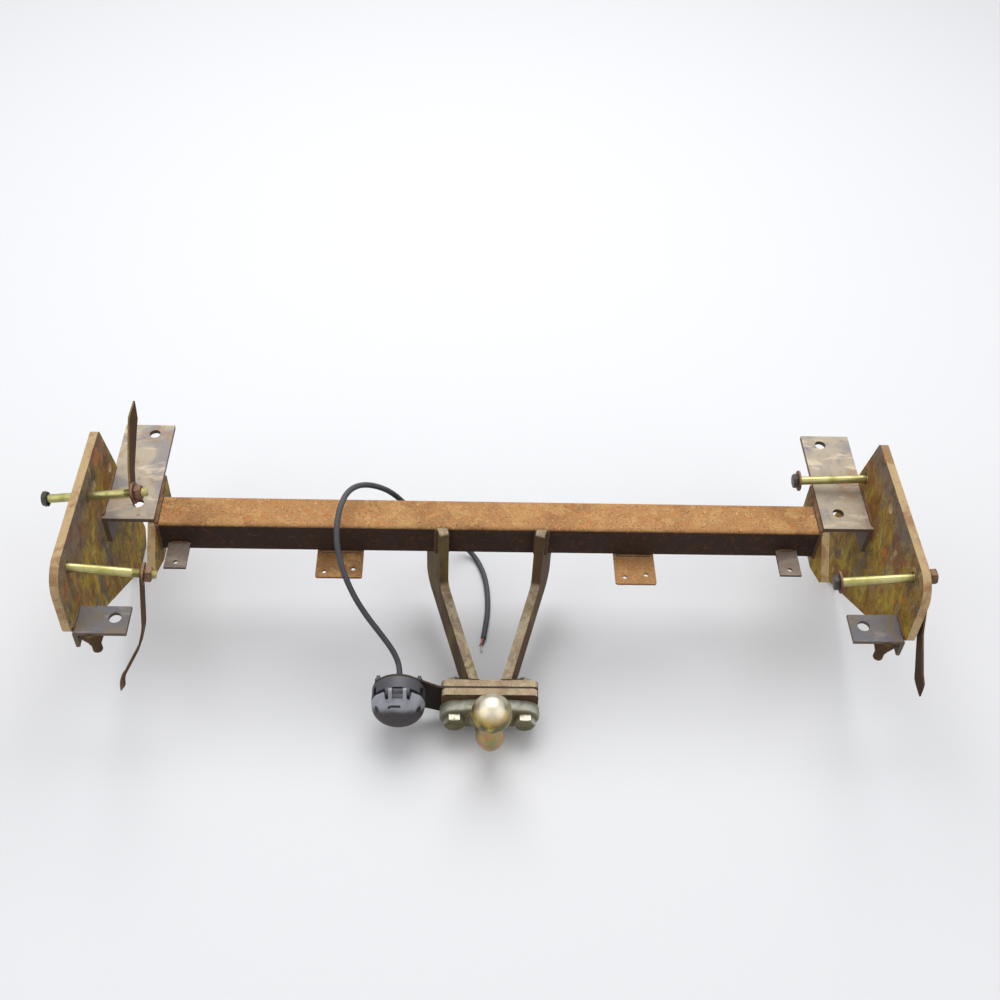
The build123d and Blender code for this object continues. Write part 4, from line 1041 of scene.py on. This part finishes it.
class TOWBAR_OT_fasteners(bpy.types.Operator):
    """Loose chassis bolts with threads, washers and nuts, and the straps welded to three of them"""

    bl_idname = "towbar.fasteners"
    bl_label = "Fasteners"

    def execute(self, context):
        shade = context.scene.towbar_colours
        sizes = context.scene.towbar_sizes
        dark = shade.old_rust
        looks = {
            "shank": plated("yellow_zinc_plating", shade.yellow_zinc, tone("8c8a46"), 0.30, 0.9, 6.6),
            "head": plated("head_steel", shade.head, tone("34312d"), 0.5, 0.5, 2.6),
            # In the nut and strap finishes the second colour is painted light on level faces
            "nut": weathered("strap_nut_rust", shade.nut, tone("8a6a55"), tone("9a5f38"), dark, 9.2, 0.35,
                             0.4, metal=0.25, rough=0.6),
            "strap": weathered("strap_rust_bark", shade.strap, tone("7a6236"), tone("6a4a30"), dark, 3.7,
                               0.4, 0.5),
        }
        axes = {joint["name"]: np.array(joint["axis"], float) for joint in frame["joints"]}
        for name, (side, y, z, *places) in LOOSE_BOLTS.items():
            inward = -axes["rail_bolt_slide_" + name]
            self.bolt(name, from_bar(side * PLATE_MIDDLE, y, z), inward, places, sizes, looks)
        for name, (start, turn, runs) in STRAPS.items():
            side, y, z = LOOSE_BOLTS[name][:3]
            inward = -axes["rail_bolt_slide_" + name]
            origin = from_bar(side * PLATE_MIDDLE, y, z) + start * inward
            self.strap(name, origin, inward, turn, runs, sizes, looks["strap"])
        return {"FINISHED"}

    def bolt(self, name, origin, inward, places, sizes, looks):
        """Turned pieces along the shank. A head or nut is a cylinder cut to a hexagon, its ends chamfered."""
        head, seat, washer, tip, nut_outside = places
        flats = HEX_FLATS / 2
        pieces = (
            ("head", head, self.hexagon(HEAD_HEIGHT), flats, "head", "yellow_zinc", "rail_bolt_"),
            ("nut", seat, self.hexagon(NUT_HEIGHT), flats, "nut", "nut_rust", "rail_nut_"),
            ("washer", washer, self.ring(), None, "nut", "nut_rust", "rail_washer_"),
        )
        for kind, place, rows, cut, look, slot, node in pieces:
            points = turned(origin, inward, [(place + rise, radius) for rise, radius in rows], cut)
            piece = grid_mesh(f"{kind}_{name}", points, looks[look], "rail_bolt_" + name, SHARP_BOLT)
            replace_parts(piece, node + name)
        self.shank(name, origin, inward, head, tip, nut_outside, sizes, looks["shank"])

    def hexagon(self, tall):
        """Rows of a hexagon with chamfered ends, closed at both."""
        face = HEX_FLATS / 2 * HEX_FACE
        corner = HEX_FLATS / 2 / math.cos(math.pi / 6)
        return [(0, 0), (0, face), (HEX_CHAMFER, corner), (tall - HEX_CHAMFER, corner), (tall, face),
                (tall, 0)]

    def ring(self):
        """Rows of a washer with chamfered edges, closed on themselves."""
        edge = WASHER_RADIUS - WASHER_CHAMFER
        top = WASHER_THICKNESS
        return [(0, WASHER_HOLE), (0, edge), (WASHER_CHAMFER, WASHER_RADIUS),
                (top - WASHER_CHAMFER, WASHER_RADIUS), (top, edge), (top, WASHER_HOLE), (0, WASHER_HOLE)]

    def shank(self, name, origin, inward, head, tip, nut_outside, sizes, material):
        """A round shank whose last part carries a helical thread: its radius falls and rises once each pitch,
        and the crest moves one pitch along in each turn. The thread is at the end away from the head."""
        low, high = min(head, tip), max(head, tip)
        places = np.arange(low, high, sizes.pitch / PITCH_ROWS)
        turn = circle(SHANK_COLUMNS)
        phase = (places[:, None] / sizes.pitch + turn[None, :] / (2 * math.pi)) % 1.0
        reach = places - low if nut_outside else high - places
        threaded = np.clip((THREAD_LENGTH - reach) / (2 * sizes.pitch), 0, 1)
        radius = sizes.shank - threaded[:, None] * THREAD_DEPTH * np.abs(2 * phase - 1)
        ends = np.minimum(places - low, high - places)
        radius = np.minimum(radius, (sizes.shank - SHANK_CHAMFER + ends)[:, None])
        ring = around(turn, *square_to(inward))
        points = origin + places[:, None, None] * inward + radius[:, :, None] * ring
        points = closed(points, origin + places[0] * inward, origin + places[-1] * inward)
        piece = grid_mesh("shank_" + name, points, material, "rail_bolt_" + name, SHARP_ROUND)
        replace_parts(piece, "rail_bolt_" + name)

    def strap(self, name, origin, inward, turn, runs, sizes, material):
        """A rectangle carried along straight runs: each run has a length, leans away from the plane square to
        the bolt, and turns about its own line. Both ends narrow, the far one to a point."""
        hint = np.array((0.0, math.cos(math.radians(turn)), math.sin(math.radians(turn))))
        down, _ = square_to(inward, hint)
        outward = -np.array(inward) / np.linalg.norm(inward)
        half = sizes.strap_width / 2
        corners = [origin - half * down, origin]
        twist = [0.0, 0.0]
        for run, lean, roll in runs:
            way = math.cos(math.radians(lean)) * down + math.sin(math.radians(lean)) * outward
            corners.append(corners[-1] + run * way)
            twist.append(math.radians(roll))
        path, places, reached = along(corners, STRAP_ROWS)
        kernel = np.ones(STRAP_BEND_ROWS) / STRAP_BEND_ROWS
        edge = STRAP_BEND_ROWS // 2
        smooth = np.stack([np.convolve(path[:, k], kernel, "valid") for k in range(3)], axis=1)
        path[edge:-edge] = smooth
        tangent = np.gradient(path, axis=0)
        tangent /= np.linalg.norm(tangent, axis=1, keepdims=True)
        flat = np.cross(tangent, outward)
        flat /= np.linalg.norm(flat, axis=1, keepdims=True)
        proud = np.cross(flat, tangent)
        roll = np.interp(places, reached, twist)[:, None]
        wide = np.cos(roll) * flat + np.sin(roll) * proud
        thin = np.cross(wide, tangent)
        near = np.sqrt(np.clip(1 - (1 - np.clip(places / half, 0, 1)) ** 2, STRAP_LEAST[0], 1))
        far = np.clip((reached[-1] - places) / (STRAP_POINT * half), STRAP_LEAST[1], 1)
        width = (half * near * far)[:, None]
        deep = sizes.strap_thickness / 2
        signs = ((1, 1), (1, -1), (-1, -1), (-1, 1))
        points = np.stack([path + a * width * wide + b * deep * thin for a, b in signs], axis=1)
        points = closed(points, path[0], path[-1])
        piece = grid_mesh("strap_" + name, points, material, "rail_bolt_" + name, SHARP_STRAP)
        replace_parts(piece, "rail_strap_" + name)


class TOWBAR_OT_socket(bpy.types.Operator):
    """Finishes of the trailer socket, its domed lid on two knuckles, and the thin plate that carries it"""

    bl_idname = "towbar.socket"
    bl_label = "Socket"

    def execute(self, context):
        shade = context.scene.towbar_colours
        dress(moulded("socket_plastic", shade.plastic, 0.42, 1.3, 0.30), "socket_body")
        dress(moulded("insert_plastic", tone("1c1c1e"), 0.5, 3.3, 0.1), "socket_insert")
        dress(moulded("rubber_black", tone("1d1d1e"), 0.7, 5.3, 0.25), "socket_seal", "cable_gland")
        dress(plated("contact_brass", tone("c09a4c"), tone("8a6a34"), 0.35, 1.0, 2.3), "socket_contacts")
        lid = self.lid_plastic(shade.plastic)
        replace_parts(self.dome(lid), "socket_lid")
        for hand, side in SIDES:
            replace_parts(self.knuckle(hand, side, lid), "socket_lid")
        # The second colour is painted light on the thin plate's level edges
        paint = weathered("socket_plate_paint", shade.socket_plate, tone("3a2e29"), tone("59382a"),
                          shade.old_rust, 2.2, 0.35, 0.3, rough=0.6, grit=0.2)
        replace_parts(self.plate(paint), "socket_plate")
        return {"FINISHED"}

    def dome(self, material):
        """The lid: r = R (1 - (t^n))^(1/n) over the depth t, its upper half cut to three flat panels by
        r = h / cos(angle from the panel's middle), with a shallow recess at each side and a notch in its
        rim for the hinge. The inner wall follows it, never nearer than the barrel."""
        angle = circle(LID_COLUMNS) - math.pi
        notch = np.abs(angle) < math.radians(LID_NOTCH)
        rim = np.where(notch, LID_NOTCH_DEPTH, LID_RIM)
        share = np.sin(np.linspace(0, math.pi / 2, LID_ROWS))
        panel = 2 * math.acos(LID_FLAT)
        off = np.abs(angle) - panel * np.round(np.abs(angle) / panel)
        facet = np.where(np.abs(angle) < LID_PANELS / 2 * panel, LID_FLAT / np.cos(off), 1.0)
        walls = []
        for front, wall in ((LID_FRONT, 0.0), (LID_FRONT - LID_WALL, LID_WALL)):
            depth = rim[None] + (front - rim)[None] * share[:, None]
            swell = np.clip((depth - LID_START) / (front - LID_START), 0, 1)
            radius = LID_RADIUS * (1 - swell**LID_POWER) ** (1 / LID_POWER) * facet[None]
            if wall:
                radius = np.maximum(radius - wall, np.where(depth < LID_BARREL, LID_INNER, 0))
                radius[-1] = 0.0
            else:
                for _, side in SIDES:
                    beside = (angle - side * math.radians(RECESS_ANGLE)) * LID_RADIUS / RECESS_HALF_WIDTH
                    deeper = (depth - RECESS_PLACE) / RECESS_HALF_DEPTH
                    radius = radius - RECESS_SINK * np.exp(-(beside**2 + deeper**2) ** 2)
            walls.append(np.stack([radius * np.sin(angle), -depth, radius * np.cos(angle)], axis=2))
        points = np.concatenate([walls[1][::-1], walls[0]]) + from_bar(*SOCKET_AXIS)
        return grid_mesh("lid_dome", points, material, "lid", SHARP_LID)

    def knuckle(self, hand, side, material):
        """A round eye on the hinge pin with a tongue down to the dome."""
        turn = np.radians(np.linspace(*KNUCKLE_ARC, EYE_POINTS))
        eye = np.stack([HINGE_DEPTH + KNUCKLE_RADIUS * np.cos(turn),
                        HINGE_LIFT + KNUCKLE_RADIUS * np.sin(turn)], axis=1)
        hub = from_bar(*SOCKET_AXIS)
        points = [hub + (0.0, -depth, height) for depth, height in np.concatenate([eye, KNUCKLE_FOOT])]
        name = "lid_knuckle_" + hand
        mesh = sheet(name, points, (1.0, 0.0, 0.0), *sorted((side * KNUCKLE_FROM, side * KNUCKLE_TO)))
        return piece_from(name, mesh, material, "lid")

    def plate(self, material):
        """The thin plate that carries the socket, gripped between the flange plates."""
        low, high = node_box("socket_plate")
        turn = np.radians(np.linspace(*CARRIER_ARC, CARRIER_POINTS))
        arc = np.stack([SOCKET_AXIS[0] + CARRIER_RADIUS * np.cos(turn),
                        SOCKET_AXIS[2] + CARRIER_RADIUS * np.sin(turn)], axis=1)
        points = [from_bar(x, float(low[1]), z) for x, z in np.concatenate([arc, CARRIER_OUTLINE])]
        mesh = sheet("socket_carrier", points, (0.0, 1.0, 0.0), 0.0, float(high[1] - low[1]))
        return piece_from("socket_carrier", mesh, material, "frame")

    def lid_plastic(self, base):
        """Grey above as painted light and brown-black below as painted shade, with painted shade in the side
        recesses and at the latch slot.
        """
        finish = Finish("lid_plastic", 2.4)
        hub = from_bar(*SOCKET_AXIS)
        offset = finish.axis(finish.where, 0) - float(hub[0])
        depth = float(hub[1]) - finish.axis(finish.where, 1)
        height = finish.axis(finish.where, 2) - float(hub[2])
        cloud = finish.noise(40.0, 5.0, 0.6, warp=0.6)
        # Painted light and shade: a grey upper side where the light falls and a brown-black lower side, split
        # by height and depth
        level = height * 0.68 - depth * 0.74 + (cloud - 0.5) * 0.012
        coat = finish.mix(level.between(-0.025, -0.015), tone("2a2022"), tone("8c8d94"))
        coat = finish.mix(cloud.between(0.5, 0.7) * 0.35, coat, base)
        # Painted shade: a near-black spot in each side recess
        beside = offset.math("ABSOLUTE") - RECESS_SHADE_MIDDLE[0]
        deeper = depth - RECESS_SHADE_MIDDLE[1]
        above = height - RECESS_SHADE_MIDDLE[2]
        recess_shade = beside * beside + deeper * deeper + above * above
        coat = finish.mix(1.0 - recess_shade.between(*RECESS_SHADE_EDGE), coat, tone("0e0d0e"))
        # Painted shade: a near-black patch where the latch slot is, with no slot cut
        latch_shade = 1.0 - (offset - LATCH_MIDDLE[0]).math("ABSOLUTE").between(*LATCH_HALF_WIDTH)
        latch_shade = latch_shade * (1.0 - (depth - LATCH_MIDDLE[1]).math("ABSOLUTE").between(*LATCH_HALF_DEPTH))
        coat = finish.mix(latch_shade * height.between(*LATCH_HEIGHT), coat, tone("0b0b0c"))
        fine = finish.noise(700.0, 4.0, 0.65)
        coat = finish.mix(fine.between(0.58, 0.70) * 0.3, coat, tone("a3a3a8"))
        return finish.surface(coat, 0.45 + cloud * 0.2, 0.0, finish.bump(fine, 0.00015, 0.5))


class TOWBAR_OT_cable(bpy.types.Operator):
    """The cable from the socket's gland to its cut end, and the cores that stand out of it"""

    bl_idname = "towbar.cable"
    bl_label = "Cable"

    def execute(self, context):
        shade = context.scene.towbar_colours
        sizes = context.scene.towbar_sizes
        route = [from_bar(*point) for point in CABLE_ROUTE]
        curve = bpy.data.curves.new("cable_run", "CURVE")
        curve.dimensions = "3D"
        curve.bevel_depth = sizes.cable_radius
        curve.bevel_resolution = 5
        curve.use_fill_caps = True
        curve.resolution_u = 10
        spline = curve.splines.new("NURBS")
        spline.points.add(len(route) - 1)
        for point, place in zip(spline.points, route):
            point.co = (*place, 1.0)
        spline.order_u = 3
        spline.use_endpoint_u = True
        cable = bpy.data.objects.new("cable_run", curve)
        bpy.context.scene.collection.objects.link(cable)
        curve.materials.append(moulded("cable_jacket", shade.cable, 0.55, 7.1, 0.35))
        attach(cable, "frame")
        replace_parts(cable, "cable")
        cores = self.cores(route, sizes)
        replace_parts(cores[0], "cable_cores")
        return {"FINISHED"}

    def cores(self, route, sizes):
        """Three cores that splay out of the cut end: each centreline bends a little more as it goes."""
        way = route[-1] - route[-2]
        way /= np.linalg.norm(way)
        up = np.array((0.0, 0.0, 1.0))
        side = np.cross(way, up)
        side /= np.linalg.norm(side)
        share = np.linspace(CORE_START, 1.0, CORE_ROWS)[:, None]
        radius = np.full(len(share), sizes.core_radius)
        radius[[0, -1]] = 0.0
        made = []
        for name, code, turn, lean, reach in CORES:
            start = route[-1] + CORE_CIRCLE * (math.cos(turn) * up + math.sin(turn) * side)
            path = start + reach * share * way + CORE_SPLAY * reach * lean * share**2 * side
            points = path[:, None, :] + radius[:, None, None] * around(circle(CORE_COLUMNS), *frames(path))
            material = moulded("core_" + name, tone(code), 0.4, turn, 0.1)
            made.append(grid_mesh("core_" + name, points, material, "frame"))
        return made


class TOWBAR_OT_stage(bpy.types.Operator):
    """Pale floor, soft light and the photograph's camera"""

    bl_idname = "towbar.stage"
    bl_label = "Stage"

    def execute(self, context):
        scene = context.scene
        shade = scene.towbar_colours
        half = scene.towbar_sizes.floor_size / 2
        mesh = bpy.data.meshes.new("floor")
        corners = [(x * half, y * half, FLOOR_LEVEL) for x, y in ((-1, -1), (1, -1), (1, 1), (-1, 1))]
        mesh.from_pydata(corners, [], [(0, 1, 2, 3)])
        floor = bpy.data.objects.new("floor", mesh)
        scene.collection.objects.link(floor)
        mesh.materials.append(Finish("floor_pale").surface(shade.floor, 0.6))
        for row in LIGHTS:
            self.light(*row)
        self.world(scene)
        data = bpy.data.cameras.new("camera")
        data.lens = FOCAL_PIXELS / PHOTO_PIXELS * SENSOR_MM
        data.sensor_width = SENSOR_MM
        data.sensor_fit = "HORIZONTAL"
        camera = bpy.data.objects.new("camera", data)
        camera.location = from_bar(*CAMERA_FROM_BAR)
        turn = Matrix.Rotation(math.radians(CAMERA_YAW), 3, "Z")
        tip = Matrix.Rotation(math.radians(90 - CAMERA_PITCH), 3, "X")
        roll = Matrix.Rotation(math.radians(CAMERA_ROLL), 3, "Z")
        camera.rotation_euler = (turn @ tip @ roll).to_euler()
        scene.collection.objects.link(camera)
        scene.camera = camera
        scene.view_settings.view_transform = "Standard"
        return {"FINISHED"}

    def light(self, name, place, size, power):
        """A square soft light that looks at the bar."""
        data = bpy.data.lights.new(name, "AREA")
        data.shape = "SQUARE"
        data.size = size
        data.energy = power
        lamp = bpy.data.objects.new(name, data)
        lamp.location = place
        aim = (np.array(place) - BAR) / np.linalg.norm(np.array(place) - BAR)
        lamp.rotation_euler = (math.acos(aim[2]), 0, math.atan2(aim[0], -aim[1]))
        bpy.context.scene.collection.objects.link(lamp)

    def world(self, scene):
        """White where the camera or a reflection sees it, and a softer sky where it only lights."""
        world = bpy.data.worlds.new("studio")
        world.use_nodes = True
        tree = world.node_tree
        tree.nodes.clear()
        path = tree.nodes.new("ShaderNodeLightPath")
        seen = tree.nodes.new("ShaderNodeMath")
        seen.operation = "MAXIMUM"
        mixed = tree.nodes.new("ShaderNodeMixShader")
        output = tree.nodes.new("ShaderNodeOutputWorld")
        links = [
            (path.outputs["Is Camera Ray"], seen.inputs[0]),
            (path.outputs["Is Glossy Ray"], seen.inputs[1]),
            (seen.outputs[0], mixed.inputs[0]),
            (mixed.outputs[0], output.inputs[0]),
        ]
        for index, (light, strength) in enumerate((SKY, BACKGROUND), 1):
            node = tree.nodes.new("ShaderNodeBackground")
            node.inputs[0].default_value = light
            node.inputs[1].default_value = strength
            links.append((node.outputs[0], mixed.inputs[index]))
        for source, target in links:
            tree.links.new(source, target)
        scene.world = world


STEPS = ("steelwork", "brackets", "ball", "welds", "fasteners", "socket", "cable", "stage")


class TOWBAR_PT_panel(bpy.types.Panel):
    """Lists the towbar's steps, colours and sizes in the sidebar"""

    bl_label = "Towbar"
    bl_idname = "TOWBAR_PT_panel"
    bl_space_type = "VIEW_3D"
    bl_region_type = "UI"
    bl_category = "Towbar"

    def draw(self, context):
        for step in STEPS:
            self.layout.operator("towbar." + step)
        for group in (context.scene.towbar_colours, context.scene.towbar_sizes):
            for name in group.__annotations__:
                self.layout.prop(group, name)


CLASSES = (
    TowbarColours,
    TowbarSizes,
    TOWBAR_OT_steelwork,
    TOWBAR_OT_brackets,
    TOWBAR_OT_ball,
    TOWBAR_OT_welds,
    TOWBAR_OT_fasteners,
    TOWBAR_OT_socket,
    TOWBAR_OT_cable,
    TOWBAR_OT_stage,
    TOWBAR_PT_panel,
)


def register():
    for item in CLASSES:
        bpy.utils.register_class(item)
    bpy.types.Scene.towbar_colours = PointerProperty(type=TowbarColours)
    bpy.types.Scene.towbar_sizes = PointerProperty(type=TowbarSizes)


def unregister():
    del bpy.types.Scene.towbar_sizes
    del bpy.types.Scene.towbar_colours
    for item in reversed(CLASSES):
        bpy.utils.unregister_class(item)


def main():
    register()
    for step in STEPS:
        getattr(bpy.ops.towbar, step)()


if __name__ == "__main__":
    main()
